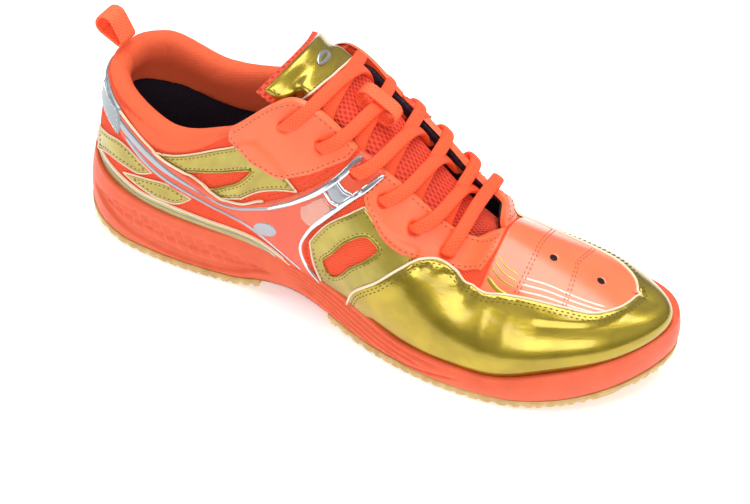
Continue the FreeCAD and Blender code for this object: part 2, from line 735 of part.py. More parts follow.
LACE = size("lace_diameter")
SLACK = size("lace_clearance")
under_lace = lining_inside - SLACK - LACE / 2
over_lace = panel_layer(3)[1] + 2 * SLACK + LACE / 2
tongue_outside = under_lace - LACE / 2 - 3 * SLACK
THICK = size("tongue_thickness")
TONGUE_STATIONS = [.75, .71, .66, .61, .56, .51, .475, .455]
TONGUE_CROWN = 2.2
TONGUE_TUCK = smooth([.455, .56, .75], [.13, .16, .22])
EDGE = .99
TONGUE_UP = Vector(.45, 0, .893)
TONGUE_BACK = Vector(-.893, 0, .45)
# Rows of the folding tip: x and height in the middle, half width, x and height at the edge.
TIP_ROWS = [(113, 115.8, 27, 106, 105.0), (105.5, 121.0, 29, 98, 110.5)]


def tongue_middle(s):
    lateral = upper_point(-s, .99, tongue_outside)
    medial = upper_point(s, .99, tongue_outside)
    return (lateral + medial) * 0.5 + TONGUE_UP * TONGUE_CROWN


def tongue_row(s):
    """Points across the tongue at a station of the throat, from lateral to medial."""
    reach = TONGUE_TUCK(s)
    tucks = [EDGE - reach, EDGE - reach / 2, EDGE]
    lateral = [upper_point(-s, t, tongue_outside) for t in tucks]
    medial = [upper_point(s, t, tongue_outside) for t in reversed(tucks)]
    crown = []
    for share in (.25, .5, .75):
        height = TONGUE_CROWN * 4 * share * (1 - share)
        crown.append(lateral[-1] * (1 - share) + medial[0] * share + TONGUE_UP * height)
    return lateral + crown + medial


def tip_row(row):
    x, z, half, edge_x, edge_z = row
    points = []
    for share in (-1, -.8, -.6, -.3, 0, .3, .6, .8, 1):
        bend = share * share
        px = grade_x(x + (edge_x - x) * bend)
        rim = rim_height(edge_x)
        pz = rim + (z + (edge_z - z) * bend - rim / SOLE_GRADE) * UPPER_GRADE
        points.append(Vector(px, grade_y(half * share), pz))
    return points


def lifted(grid, distance):
    """The same grid, moved along its own normals."""
    moved = []
    last_row = len(grid) - 1
    for i, row in enumerate(grid):
        new_row = []
        last = len(row) - 1
        for j, point in enumerate(row):
            across = row[min(j + 1, last)] - row[max(j - 1, 0)]
            along = grid[min(i + 1, last_row)][j] - grid[max(i - 1, 0)][j]
            new_row.append(point + along.cross(across).normalize() * -distance)
        moved.append(new_row)
    return moved


tongue_grid = [tongue_row(s) for s in TONGUE_STATIONS]
tip_grid = [[point + TONGUE_BACK * size("hinge_gap") for point in tongue_grid[-1]]]
tip_grid += [tip_row(row) for row in TIP_ROWS]
patch_grid = [row[1:-1] for row in tip_grid]
finish("tongue_lower", feature("tongue_lower", solid_between(
    tongue_grid, lifted(tongue_grid, -THICK))))
finish("tongue_tip", feature("tongue_tip", solid_between(tip_grid, lifted(tip_grid, -THICK))))
finish("tongue_patch", feature("tongue_patch", solid_between(
    lifted(patch_grid, 2 * GAP + size("patch_thickness")), lifted(patch_grid, 2 * GAP))))

# ---------------------------------------------------------------- tape loops


def belt(start, start_radius, end, end_radius):
    """Closed outline of a belt round two circles."""
    way = end - start
    length = way.Length
    way.normalize()
    side = Vector(-way.y, way.x, 0)
    cosine = (start_radius - end_radius) / length
    sine = math.sqrt(1 - cosine * cosine)
    left = way * cosine + side * sine
    right = way * cosine - side * sine
    return [Part.LineSegment(start + left * start_radius, end + left * end_radius),
            Part.Arc(end + left * end_radius, end + way * end_radius, end + right * end_radius),
            Part.LineSegment(end + right * end_radius, start + right * start_radius),
            Part.Arc(start + right * start_radius, start - way * start_radius,
                     start + left * start_radius)]


def tape_ring(name, start, start_radius, end, end_radius, tape, width_alias):
    """Ring of tape round two centres in the side view, as wide as the named size."""
    body = doc.addObject("PartDesign::Body", name + "_body")
    drawn = body.newObject("Sketcher::SketchObject", name + "_sketch")
    plane = [p for p in body.Origin.OriginFeatures if p.Role == "XZ_Plane"][0]
    drawn.AttachmentSupport = [(plane, "")]
    drawn.MapMode = "FlatFace"
    outside = belt(start, start_radius, end, end_radius)
    inside = belt(start, start_radius - tape, end, end_radius - tape)
    for edge in outside + inside:
        drawn.addGeometry(edge, False)
    pad = body.newObject("PartDesign::Pad", name + "_pad")
    pad.Profile = drawn
    pad.Midplane = True
    pad.setExpression("Length", "dimensions." + width_alias)
    return body


# The loop stands on the collar at the back of the heel and leans backwards.
heel_top = upper_point(0, 1)
LOOP_LEAN = Vector(-.72, .69, 0)
LOOP_INSET = 3.4
loop_root = Vector(heel_top.x + LOOP_INSET,
                   heel_top.z + size("loop_root_radius") + size("loop_tape"), 0)
loop_bend = loop_root + LOOP_LEAN.normalize() * size("loop_reach")
finish("pull_loop", tape_ring("pull_loop", loop_root, size("loop_root_radius"), loop_bend,
                              size("loop_radius"), size("loop_tape"), "loop_width"))

KEEPER_STATION = .5385
KEEPER_LIFT = 2.2
keeper_inside = LACE + 2 * SLACK
keeper_outside = keeper_inside + size("keeper_tape")
keeper_middle = tongue_middle(KEEPER_STATION) + TONGUE_UP * (KEEPER_LIFT + keeper_outside)
keeper_at = Vector(keeper_middle.x, keeper_middle.z, 0)
keeper_way = Vector(TONGUE_BACK.x, TONGUE_BACK.z, 0) * (size("keeper_length") / 2)
finish("lace_keeper", tape_ring("lace_keeper", keeper_at - keeper_way, keeper_outside,
                                keeper_at + keeper_way, keeper_outside, size("keeper_tape"),
                                "keeper_width"))

# ---------------------------------------------------------------- lace

LIFT_LOST_TO_BEND = 2.8
low_lift = GAP + size("keeper_tape") + SLACK + LACE / 2 + LIFT_LOST_TO_BEND
high_lift = low_lift + LACE + SLACK
LEAN_IN = .3
BEND_SHARE = .38


def lace_at(side, station, t, level):
    return upper_point(side * station, t, level)


def strand(side, number, high):
    """Points from over an eyelet, across the throat, to under the one below it opposite."""
    upper_s, upper_t = EYELETS[number]
    lower_s, lower_t = EYELETS[number - 1]
    step = lower_s - upper_s
    middle = tongue_middle(upper_s + step / 2) + TONGUE_UP * (high_lift if high else low_lift)
    return [lace_at(side, upper_s, upper_t, over_lace),
            lace_at(side, upper_s + step * LEAN_IN, EDGE, over_lace),
            middle,
            lace_at(-side, lower_s - step * LEAN_IN, EDGE, under_lace),
            lace_at(-side, lower_s, lower_t, under_lace)]


# The lace's end below its last eyelet: how far forward, how high up and how deep it lies.
TAIL = [(.012, .40, -.6), (.006, .56, -.4)]


def tail(side):
    """The lace's end, tucked between the lining and the tongue."""
    s, t = EYELETS[-1]
    places = [lace_at(side, s + ahead, high, under_lace + deep) for ahead, high, deep in TAIL]
    return places + [lace_at(side, s, t, under_lace)]


route = tail(-1)
side = -1
for number in range(len(EYELETS) - 1, 0, -1):
    route += strand(side, number, number % 2 == 1)
    side = -side
foot_s, foot_t = EYELETS[0]
route += [lace_at(side, foot_s, foot_t, over_lace), lace_at(side, foot_s, EDGE, over_lace),
          tongue_middle(foot_s) + TONGUE_UP * high_lift,
          lace_at(-side, foot_s, EDGE, over_lace), lace_at(-side, foot_s, foot_t, over_lace)]
other = []
side = 1
for number in range(len(EYELETS) - 1, 0, -1):
    other += strand(side, number, number % 2 == 0)
    side = -side
route += list(reversed(tail(1) + other))


def rounded(points):
    """Straight runs joined by arcs as large as the runs allow, and the arcs' radii."""
    edges = []
    radii = []
    start = points[0]
    for before, corner, after in zip(points, points[1:], points[2:]):
        back = (before - corner)
        ahead = (after - corner)
        cut = BEND_SHARE * min(back.Length, ahead.Length)
        back.normalize()
        ahead.normalize()
        half = (math.pi - back.getAngle(ahead)) / 2
        radius = cut / math.tan(half)
        inward = (back + ahead).normalize()
        into = corner + back * cut
        out_of = corner + ahead * cut
        middle = corner + inward * (radius / math.cos(half) - radius)
        edges.append(Part.LineSegment(start, into))
        edges.append(Part.Arc(into, middle, out_of))
        radii.append(radius)
        start = out_of
    edges.append(Part.LineSegment(start, points[-1]))
    return edges, radii


def tube(points, diameter):
    edges, radii = rounded(points)
    path = Part.Wire([edge.toShape() for edge in edges])
    heading = points[1] - points[0]
    ring = Part.Wire([Part.Circle(points[0], heading, diameter / 2).toShape()])
    shape = path.makePipeShell([ring], True, False)
    section = math.pi * diameter * diameter / 4
    print("lace length %.0f, radii %.1f to %.1f, volume %.0f for %.0f"
          % (path.Length, min(radii), max(radii), shape.Volume, section * path.Length))
    return shape


finish("lace", feature("lace", tube(route, LACE)))

aglets = []
for name, end, inner in (("lateral", route[0], route[1]), ("medial", route[-1], route[-2])):
    aglet = doc.addObject("Part::Cylinder", "aglet_" + name)
    aglet.setExpression("Radius", "dimensions.aglet_radius")
    aglet.setExpression("Height", "dimensions.aglet_length")
    aglet.Placement = Placement(end, Rotation(Vector(0, 0, 1), end - inner))
    aglets.append(aglet)
pair = doc.addObject("Part::Compound", "aglets")
pair.Links = aglets
finish("aglets", pair)

# ---------------------------------------------------------------- check and write

doc.recompute()
faults = []
for thing in doc.Objects:
    if "Invalid" in thing.State or "Error" in thing.State:
        faults.append(thing.Name + " failed")
for node in nodes:
    if node.Shape.isNull() or not node.Shape.isValid() or not node.Shape.Solids:
        faults.append(node.Label + " is not a valid solid")
if faults:
    raise RuntimeError("; ".join(faults))

os.makedirs("parts", exist_ok=True)
for node in nodes:
    node.Shape.exportStep("parts/%s.step" % node.Label)
    box = node.Shape.BoundBox
    print("%-24s %d solids %8.0f mm3  x %.0f..%.0f  y %.0f..%.0f  z %.0f..%.0f"
          % (node.Label, len(node.Shape.Solids), node.Shape.Volume, box.XMin, box.XMax,
             box.YMin, box.YMax, box.ZMin, box.ZMax))
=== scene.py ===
# %% [markdown]
# # A court shoe, built round a fixed frame
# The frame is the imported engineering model: where every part lies and what it moves with. It holds
# no looks. This lesson gives each part its real shape and finish, in metres, in the frame's own place.

# %% Load the frame
import math

import bmesh
import bpy
import mathutils
import numpy as np
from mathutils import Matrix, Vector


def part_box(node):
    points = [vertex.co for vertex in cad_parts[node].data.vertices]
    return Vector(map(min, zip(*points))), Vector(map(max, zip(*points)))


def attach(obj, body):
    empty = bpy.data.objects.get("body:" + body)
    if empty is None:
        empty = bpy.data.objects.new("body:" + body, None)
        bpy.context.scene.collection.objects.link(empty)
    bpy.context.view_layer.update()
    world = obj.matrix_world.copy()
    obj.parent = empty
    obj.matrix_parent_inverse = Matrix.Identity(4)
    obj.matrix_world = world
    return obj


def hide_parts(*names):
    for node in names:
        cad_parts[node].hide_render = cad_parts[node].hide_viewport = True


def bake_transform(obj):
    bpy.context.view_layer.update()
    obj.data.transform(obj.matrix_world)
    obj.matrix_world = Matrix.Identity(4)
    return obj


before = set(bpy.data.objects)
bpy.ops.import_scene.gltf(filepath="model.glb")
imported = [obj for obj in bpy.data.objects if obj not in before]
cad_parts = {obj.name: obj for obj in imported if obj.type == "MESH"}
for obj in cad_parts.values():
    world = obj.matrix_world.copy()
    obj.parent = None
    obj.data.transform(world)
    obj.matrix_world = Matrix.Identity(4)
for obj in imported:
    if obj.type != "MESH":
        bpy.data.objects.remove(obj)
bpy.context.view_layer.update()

# %% [markdown]
# ## The last
# A shoe is pulled over a last, a solid foot form. Everything on the upper lies a layer or two off that
# form, so the last is written as one function of two numbers. q runs round the shoe: 0 at the heel,
# negative on the outer side, -1 and 1 both at the toe. t climbs from the sole (0) to the opening (1).
# A mesh could be sculpted instead, but a function lets every panel, seam and stitch share one surface.

# %% Driving sizes, read from the frame
MM = 0.001
DRAWN_LENGTH, DRAWN_WIDTH = 292, 101
sole_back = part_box("outsole_heel")[0]
sole_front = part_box("outsole_forefoot")[1]
LENGTH = (sole_front.x - sole_back.x) / MM
WIDTH_GRADE = (sole_front.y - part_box("outsole_forefoot")[0].y) / MM / DRAWN_WIDTH
THROAT_FOOT = 0.77
SIDES = ((-1, "lateral"), (1, "medial"))


def to_x(x):
    """Frame x in millimetres of a distance from the heel, as drawn."""
    return (x / DRAWN_LENGTH - .5) * LENGTH


def from_heel(x):
    """Distance from the heel, as drawn, of a frame x in millimetres."""
    return (x / LENGTH + .5) * DRAWN_LENGTH


print("sole length %.0f mm" % LENGTH)

# %% Drawn lines of the last
STATIONS = [0, .06, .14, .24, .34, .44, .54, .63, .71, .74, .77, .84, .91, .96, 1]
FEATHER = {
    -1: [(4, 0), (8, -15), (24, -27.5), (50, -32.5), (76, -32.5), (103, -31.5),
         (132, -34), (160, -40), (186, -45), (196, -46), (206, -46), (230, -43),
         (257, -31), (276, -15), (286, 6)],
    1: [(4, 0), (8, 15), (24, 28), (50, 30.5), (76, 27.5), (103, 25),
        (132, 28), (160, 34), (186, 41), (196, 43), (206, 44.5), (230, 45),
        (257, 37), (276, 23), (286, 6)],
}
TOP_LINE = {
    -1: [(11, 0, 90), (14, -12, 90), (26, -24, 85), (54, -30, 76), (84, -31, 88),
         (116, -28, 112), (142, -24.5, 98), (168, -22, 81), (191, -18, 64.5),
         (201, -13, 60), (207, 2, 57), (226, 4, 52), (247, 5, 47), (261, 5.5, 43.5),
         (269, 6, 41)],
    1: [(11, 0, 90), (14, 12, 92), (26, 24, 91), (54, 30, 81), (84, 30, 86),
        (116, 27, 109), (142, 24, 96), (168, 22, 79), (191, 20, 63),
        (201, 17, 59.5), (207, 2, 57), (226, 4, 52), (247, 5, 47), (261, 5.5, 43.5),
        (269, 6, 41)],
}
RIBS = {
    -1: [(0, 16, 80, 14), (3, 16, 82, 14), (6, 14, 84, 14), (8, 13, 85, 13),
         (10, 15, 86, 14), (12, 26, 62, 22), (14, 26, 52, 22), (18, 24, 46, 22),
         (22, 20, 34, 18), (23, 19, 20, 17), (24, 18, 4, 22), (26, 17, 0, 24),
         (24, 15, 0, 20), (20, 13, 0, 15), (16, 12, 0, 11)],
    1: [(0, 16, 80, 14), (3, 16, 82, 14), (6, 14, 84, 14), (4, 13, 85, 13),
        (2, 15, 86, 14), (2, 24, 62, 22), (4, 24, 54, 22), (8, 22, 48, 20),
        (10, 19, 38, 16), (10, 18, 22, 15), (10, 17, 4, 17), (11, 16, 0, 16),
        (13, 15, 0, 14), (15, 13, 0, 12), (16, 12, 0, 11)],
}
RIM = [(-8, 43), (0, 41), (20, 33), (60, 28.5), (95, 28), (120, 26), (150, 22),
       (185, 14.5), (220, 13.5), (250, 20), (275, 26), (292, 31), (300, 33)]
CUP_FLOOR = [(-8, 25), (0, 24), (20, 22), (60, 21), (95, 20), (120, 18), (150, 15.5),
             (185, 10.5), (220, 9.8), (250, 14), (275, 19), (292, 24), (300, 26)]
SOLE_OUTLINE = [(0, 0), (4, -17), (15, -28.5), (40, -35.5), (72, -36), (105, -33.5),
                (135, -37), (160, -43.5), (188, -49.5), (212, -50.5), (238, -46),
                (262, -34), (279, -18), (289, -2), (292, 9), (289, 22), (280, 34),
                (262, 44), (238, 49.5), (214, 50.5), (190, 48), (160, 41), (132, 32),
                (105, 28.5), (75, 31.5), (40, 34.5), (15, 28.5), (4, 17)]
print(len(STATIONS), "stations round each side")

# %% [markdown]
# Two kinds of curve join the drawn numbers. Heights and slopes use one that never overshoots
# (Fritsch and Carlson's), so no false bump appears. Closed outlines use a periodic cubic spline.


# %% Curves through drawn numbers
def smooth(knots, values):
    """Curve that passes through every value and never overshoots them."""
    x = np.array(knots, float)
    y = np.array(values, float).reshape(len(x), -1)
    h = np.diff(x)[:, None]
    d = np.diff(y, axis=0) / h
    tangents = np.vstack([d[:1], np.zeros_like(d[1:]), d[-1:]])
    before, after = d[:-1], d[1:]
    w0 = 2 * h[1:] + h[:-1]
    w1 = h[1:] + 2 * h[:-1]
    same_way = before * after > 0
    safe_before = np.where(same_way, before, 1)
    safe_after = np.where(same_way, after, 1)
    mean = (w0 + w1) / (w0 / safe_before + w1 / safe_after)
    tangents[1:-1] = np.where(same_way, mean, 0)

    def value(at):
        at = np.atleast_1d(np.asarray(at, float))
        i = np.clip(np.searchsorted(x, at) - 1, 0, len(x) - 2)
        hi = h[i]
        r = ((at - x[i]) / hi[:, 0])[:, None]
        found = ((1 + 2 * r) * (1 - r) ** 2 * y[i] + r * (1 - r) ** 2 * hi * tangents[i]
                 + r * r * (3 - 2 * r) * y[i + 1] + r * r * (r - 1) * hi * tangents[i + 1])
        return found[:, 0] if y.shape[1] == 1 else found

    return value


def periodic(knots, points):
    """Closed cubic spline with a smooth bend everywhere: returns a function for place and heading."""
    x = np.array(knots, float)
    y = np.array(points, float)
    n = len(y)
    h = np.diff(x)
    d = (np.roll(y, -1, 0) - y) / h[:, None]
    system = np.zeros((n, n))
    right = np.zeros_like(y)
    for i in range(n):
        system[i, i - 1] += h[i - 1]
        system[i, i] += 2 * (h[i - 1] + h[i])
        system[i, (i + 1) % n] += h[i]
        right[i] = 6 * (d[i] - d[i - 1])
    bend = np.linalg.solve(system, right)

    def value(at):
        at = x[0] + np.mod(np.asarray(at, float) - x[0], x[-1] - x[0])
        i = np.clip(np.searchsorted(x, at, side="right") - 1, 0, n - 1)
        nxt = (i + 1) % n
        hi = h[i][:, None]
        r = (at - x[i])[:, None]
        slope = (y[nxt] - y[i]) / hi - hi * (2 * bend[i] + bend[nxt]) / 6
        third = (bend[nxt] - bend[i]) / (6 * hi)
        place = y[i] + r * slope + r * r * bend[i] / 2 + r ** 3 * third
        return place, slope + r * bend[i] + 3 * r * r * third

    return value


rim_height = smooth(*zip(*RIM))
floor_height = smooth(*zip(*CUP_FLOOR))
feather_points = FEATHER[-1][::-1] + FEATHER[1][1:-1]
feather_knots = [-s for s in STATIONS[::-1]] + STATIONS[1:]
feather = periodic(feather_knots, [(to_x(x), y * WIDTH_GRADE) for x, y in feather_points])
top_line = smooth(feather_knots, [(to_x(x), y * WIDTH_GRADE, z)
                                  for x, y, z in TOP_LINE[-1][::-1] + TOP_LINE[1][1:]])
ribs = smooth(feather_knots, RIBS[-1][::-1] + RIBS[1][1:])
print("feather line starts at", np.round(feather(np.array([0.0]))[0][0], 1))


# %% The last as a function
def unit(v):
    return v / np.maximum(np.linalg.norm(v, axis=-1, keepdims=True), 1e-9)


STEP = 0.004
THROAT_START = STATIONS[8]
UPRIGHT_FROM, UPRIGHT_SPAN = 60, 25


def last(q, t):
    """Points on the last, in millimetres."""
    q, t = np.broadcast_arrays(np.asarray(q, float), np.asarray(t, float))
    shape = q.shape
    q = q.ravel().copy()
    t = t.ravel().copy()
    q = np.where(q < -1, q + 2, q)
    q = np.where(q > 1, q - 2, q)
    over = (t > 1) & (np.abs(q) >= THROAT_FOOT)
    q = np.where(over, -q, q)
    t = np.where(over, 2 - t, t)
    s = np.clip(np.abs(q), 0, 1)
    plan, heading = feather(q)
    foot = np.column_stack([plan, rim_height(from_heel(plan[:, 0]))])
    out = unit(np.column_stack([-heading[:, 1], heading[:, 0], np.zeros(len(q))]))
    side = np.where(q < 0, -1, 1)
    lean, low_reach, slope, high_reach = ribs(side * s).T[:, :, None]
    top = top_line(side * s)
    ahead = top_line(side * np.minimum(s + STEP, 1))
    behind_s = np.where(s >= THROAT_FOOT, np.maximum(s - STEP, THROAT_FOOT), s)
    behind = top_line(side * behind_s)
    share = np.clip((s - THROAT_START) / (THROAT_FOOT - THROAT_START), 0, 1)
    fall = share * (ahead[:, 2] - behind[:, 2]) / np.maximum(ahead[:, 0] - behind[:, 0], STEP)
    away = foot - top
    away[:, 2] = 0
    away = unit(away)
    upright = np.clip((slope - UPRIGHT_FROM) / UPRIGHT_SPAN, 0, 1)
    away = unit(away * (1 - upright) + out * upright)
    lean = np.radians(lean)
    slope = np.radians(slope)
    up = np.array([[0, 0, 1.0]])
    low = foot + (out * np.sin(lean) + up * np.cos(lean)) * low_reach
    rise = -np.sin(slope) + fall[:, None] * away[:, :1]
    flat_away = away * np.array([[1, 1, 0]])
    high = top + (flat_away * np.cos(slope) + up * rise) * high_reach
    t = t[:, None]
    r = 1 - t
    found = foot * r ** 3 + low * 3 * r * r * t + high * 3 * r * t * t + top * t ** 3
    return found.reshape(shape + (3,))


def slopes_at(q, t):
    along = (last(q + STEP, t) - last(q - STEP, t)) / (2 * STEP)
    across = (last(q, t + STEP) - last(q, t - STEP)) / (2 * STEP)
    return along, across


def skin(q, t, height=0.0):
    """Points at a height above the last, in millimetres, and the outward directions there."""
    along, across = slopes_at(q, t)
    normal = unit(np.cross(across, along))
    height = np.asarray(height, float)
    return last(q, t) + normal * np.broadcast_to(height, normal.shape[:-1])[..., None], normal


print("ball of the foot, outer side:", np.round(last(-.71, .5), 1))

# %% [markdown]
# ## Finishes
# Each finish starts from what the real one is. A constant goes straight on the shader's own socket, and
# nodes are only used for what changes over the surface, at a scale worked out from real millimetres.


# %% Small helpers for colour and nodes
def linear(code):
    """sRGB hex code to the linear colour that shaders work in."""
    channels = [int(code[i:i + 2], 16) / 255 for i in (1, 3, 5)]
    return [c / 12.92 if c <= .04045 else ((c + .055) / 1.055) ** 2.4 for c in channels] + [1]


def add(tree, kind, settings=None, **inputs):
    """Add a node. An input is a value, or the socket of another node to link from."""
    node = tree.nodes.new(kind)
    for name, value in (settings or {}).items():
        setattr(node, name, value)
    for name, value in inputs.items():
        found = [s for s in node.inputs
                 if s.enabled and s.name.replace(" ", "_").replace("-", "_") == name]
        socket = found[0] if found else node.inputs[int(name.strip("i"))]
        if isinstance(value, bpy.types.NodeSocket):
            tree.links.new(value, socket)
        else:
            socket.default_value = value
    return node


def finish(name, colour, **sockets):
    """A new material with a Principled shader: returns it, its tree and the shader."""
    material = bpy.data.materials.new(name)
    material.use_nodes = True
    tree = material.node_tree
    shader = tree.nodes["Principled BSDF"]
    shader.inputs["Base Color"].default_value = linear(colour)
    for key, value in sockets.items():
        shader.inputs[key.replace("_", " ")].default_value = value
    return material, tree, shader


def ramp(tree, source, *stops):
    """Colour ramp from (place, hex colour) stops."""
    node = add(tree, "ShaderNodeValToRGB", i0=source)
    band = node.color_ramp
    while len(band.elements) < len(stops):
        band.elements.new(.5)
    for element, (place, colour) in zip(band.elements, stops):
        element.position = place
        element.color = linear(colour)
    return node.outputs["Color"]


def bumpy(tree, shader, height, strength, depth_mm):
    node = add(tree, "ShaderNodeBump", Strength=strength, Distance=depth_mm * MM, Height=height)
    tree.links.new(node.outputs["Normal"], shader.inputs["Normal"])


# %% [markdown]
# Patterns need a place on the surface. Pieces made over the last carry a map in millimetres, called
# `cloth_mm`, so that threads run with the cut of the cloth. Moulded pieces use the object's own metres.


# %% Pattern places
def cloth_place(tree, turn=0.0, stretch=(1, 1, 1)):
    """The map in millimetres, turned and stretched."""
    source = add(tree, "ShaderNodeUVMap", {"uv_map": "cloth_mm"}).outputs["UV"]
    node = add(tree, "ShaderNodeMapping", Vector=source, Rotation=(0, 0, math.radians(turn)),
               Scale=stretch)
    return node.outputs["Vector"]


def solid_place(tree):
    return add(tree, "ShaderNodeTexCoord").outputs["Object"]


def calc(tree, operation, a, b=0.0):
    return add(tree, "ShaderNodeMath", {"operation": operation}, i0=a, i1=b).outputs[0]


def noise(tree, place, size_mm, detail=3.0, metres=False):
    """Cloudy noise whose patches are about size_mm across."""
    scale = 1 / (size_mm * MM) if metres else 1 / size_mm
    node = add(tree, "ShaderNodeTexNoise", Vector=place, Scale=scale, Detail=detail)
    return node.outputs["Fac"]


# %% [markdown]
# ### Mirror-gloss metallic film (patent synthetic)
# The gold is a polyurethane film with a metal pigment under a clear coat, on a woven backing. The eye
# gets a broad soft reflection with a sharp clear one over it, and a slight dimple from the backing.


# %% Patent gold film
def patent_film(name, bright, deep, grain_mm=1.1, roughness=.26, metallic=.82):
    material, tree, shader = finish(name, bright, Metallic=metallic, Roughness=roughness,
                                    Coat_Weight=.7, Coat_Roughness=.08, Coat_IOR=1.5)
    place = cloth_place(tree)
    cloud = noise(tree, place, 14)
    tree.links.new(ramp(tree, cloud, (.35, deep), (.65, bright)), shader.inputs["Base Color"])
    dimple = noise(tree, place, grain_mm, 2)
    creases = noise(tree, cloth_place(tree, 20, (1, 3, 1)), 6, 1)
    height = calc(tree, "ADD", calc(tree, "MULTIPLY", dimple, .35), creases)
    bumpy(tree, shader, height, .35, .12)
    return material


gold = patent_film("patent_gold_film", "#B59E2A", "#9C861C")
gold_thin = patent_film("patent_gold_film_thin", "#B5A442", "#9E8D30", .8, .34, .6)
rand_gold = patent_film("patent_rand_film", "#B6AA66", "#A39855", .8, .36, .55)
print("gold films:", gold.name, gold_thin.name, rand_gold.name)

# %% [markdown]
# ### Smooth coral film (microfibre leather)
# Pressed microfibre with a thin polyurethane skin. It is matte to satin, with a very fine grain of
# about half a millimetre that only shows where light grazes it.


# %% Coral film
def pressed_film(name, bright, deep, roughness=.42, coat=.12):
    material, tree, shader = finish(name, bright, Roughness=roughness, Coat_Weight=coat,
                                    Coat_Roughness=.25, Sheen_Weight=.08)
    place = cloth_place(tree)
    tree.links.new(ramp(tree, noise(tree, place, 22), (.3, deep), (.7, bright)),
                   shader.inputs["Base Color"])
    grain = add(tree, "ShaderNodeTexVoronoi", Vector=place, Scale=1 / .7).outputs["Distance"]
    bumpy(tree, shader, grain, .22, .06)
    return material


coral = pressed_film("pressed_coral_film", "#FA7442", "#F26A3A")
coral_gloss = pressed_film("glossy_coral_film", "#FB7C4C", "#F47042", .2, .5)
wing_coral = pressed_film("pressed_coral_film_deep", "#E95A34", "#DF502E", .38, .2)

# %% [markdown]
# ### Silver foil, chromed edging and cream binding
# The wing's lines are a hot-stamped metal foil, the fork round the lace hole is thicker and chromed.
# Cream binding is a bare polyurethane edge, matte.


# %% Silver, chrome and cream
def foil(name, colour, roughness, metallic):
    material, tree, shader = finish(name, colour, Metallic=metallic, Roughness=roughness,
                                    Coat_Weight=.3, Coat_Roughness=.1)
    bumpy(tree, shader, noise(tree, solid_place(tree), 1.2, 2, True), .15, .08)
    return material


silver = foil("silver_foil", "#A9ADB4", .33, .8)
chrome = foil("chromed_foil", "#D4DAE0", .16, 1.0)
heel_silver = foil("heel_silver_film", "#8F999F", .34, .7)
white_foil = foil("white_foil", "#E2CBBB", .3, .25)


def plain_edge(name, colour, pale):
    material, tree, shader = finish(name, colour, Roughness=.5)
    cloud = noise(tree, solid_place(tree), 3, 2, True)
    tree.links.new(ramp(tree, cloud, (.3, colour), (.75, pale)), shader.inputs["Base Color"])
    bumpy(tree, shader, cloud, .1, .05)
    return material


cream = plain_edge("cream_binding", "#F4DDBB", "#F6E4C8")

# %% [markdown]
# ### Sewing thread
# Bonded nylon, 0.4 mm thick, in two plies. The twist is drawn as coarse as the thread itself.


# %% Threads
def thread(name, colour):
    material, tree, shader = finish(name, colour, Roughness=.55, Sheen_Weight=.2)
    twist = add(tree, "ShaderNodeTexWave", {"bands_direction": "DIAGONAL"}, Vector=solid_place(tree),
                Scale=1 / (1.2 * MM)).outputs["Fac"]
    bumpy(tree, shader, twist, .4, .06)
    return material


dark_thread = thread("olive_thread", "#6B5B18")
red_thread = thread("rust_thread", "#B8452C")
pale_thread = thread("pale_thread", "#E8CFA8")

# %% [markdown]
# ### Open mesh
# Warp-knitted polyester: a grid of small holes about 1.2 mm apart in a fluorescent orange yarn. The
# holes are drawn dark and sunk. A fluorescent dye sends back more light than falls on it, so a little
# emission in the same colour is added: a painted glow, which shines whatever light falls on it.


# %% Open mesh and knits
def knit(name, bright, deep, pitch_mm, turn=45, stretch=(1, 1, 1), depth=.35, glow=.1, holes=.42):
    """Rows of round holes, pitch_mm apart, between yarns."""
    # The emission in the yarn's colour is a painted glow, standing in for the fluorescent dye.
    material, tree, shader = finish(name, bright, Roughness=.78, Sheen_Weight=.35,
                                    Sheen_Roughness=.4, Emission_Strength=glow)
    shader.inputs["Sheen Tint"].default_value = linear(bright)
    shader.inputs["Emission Color"].default_value = linear(bright)
    place = cloth_place(tree, turn, stretch)
    split = add(tree, "ShaderNodeSeparateXYZ", Vector=place)
    turn_per_mm = 2 * math.pi / pitch_mm
    waves = [calc(tree, "SINE", calc(tree, "MULTIPLY", split.outputs[axis], turn_per_mm))
             for axis in ("X", "Y")]
    weave = calc(tree, "MULTIPLY", waves[0], waves[1])
    level = calc(tree, "ABSOLUTE", weave)
    fuzz = noise(tree, place, pitch_mm / 3, 2)
    level = calc(tree, "ADD", level, calc(tree, "MULTIPLY", fuzz, .3))
    tree.links.new(ramp(tree, level, (holes - .3, bright), (holes + .45, deep)),
                   shader.inputs["Base Color"])
    bumpy(tree, shader, calc(tree, "SUBTRACT", 1.0, level), .7, depth)
    return material


open_mesh = knit("open_orange_mesh", "#FF5A2E", "#D93A1C", 1.7)
collar_knit = knit("collar_knit", "#FF7344", "#EE5A34", 2.2, 30, (1, 1.5, 1), .35, .06)
# The lining is dark navy all over: painted shade for the dark inside of the shoe.
lining_knit = knit("lining_knit", "#2E2238", "#17121F", 2.6, 30, (1, 1.4, 1), .5, 0)
tongue_mesh = knit("tongue_big_mesh", "#FF5838", "#B82E22", 4.2, 45, (1, 1, 1), .9, .08, .5)
print(len(bpy.data.materials), "materials so far")

# %% [markdown]
# ### Lace, tapes
# The lace is a flat tubular braid: yarns cross at 45 degrees to its run, about 0.9 mm apart.


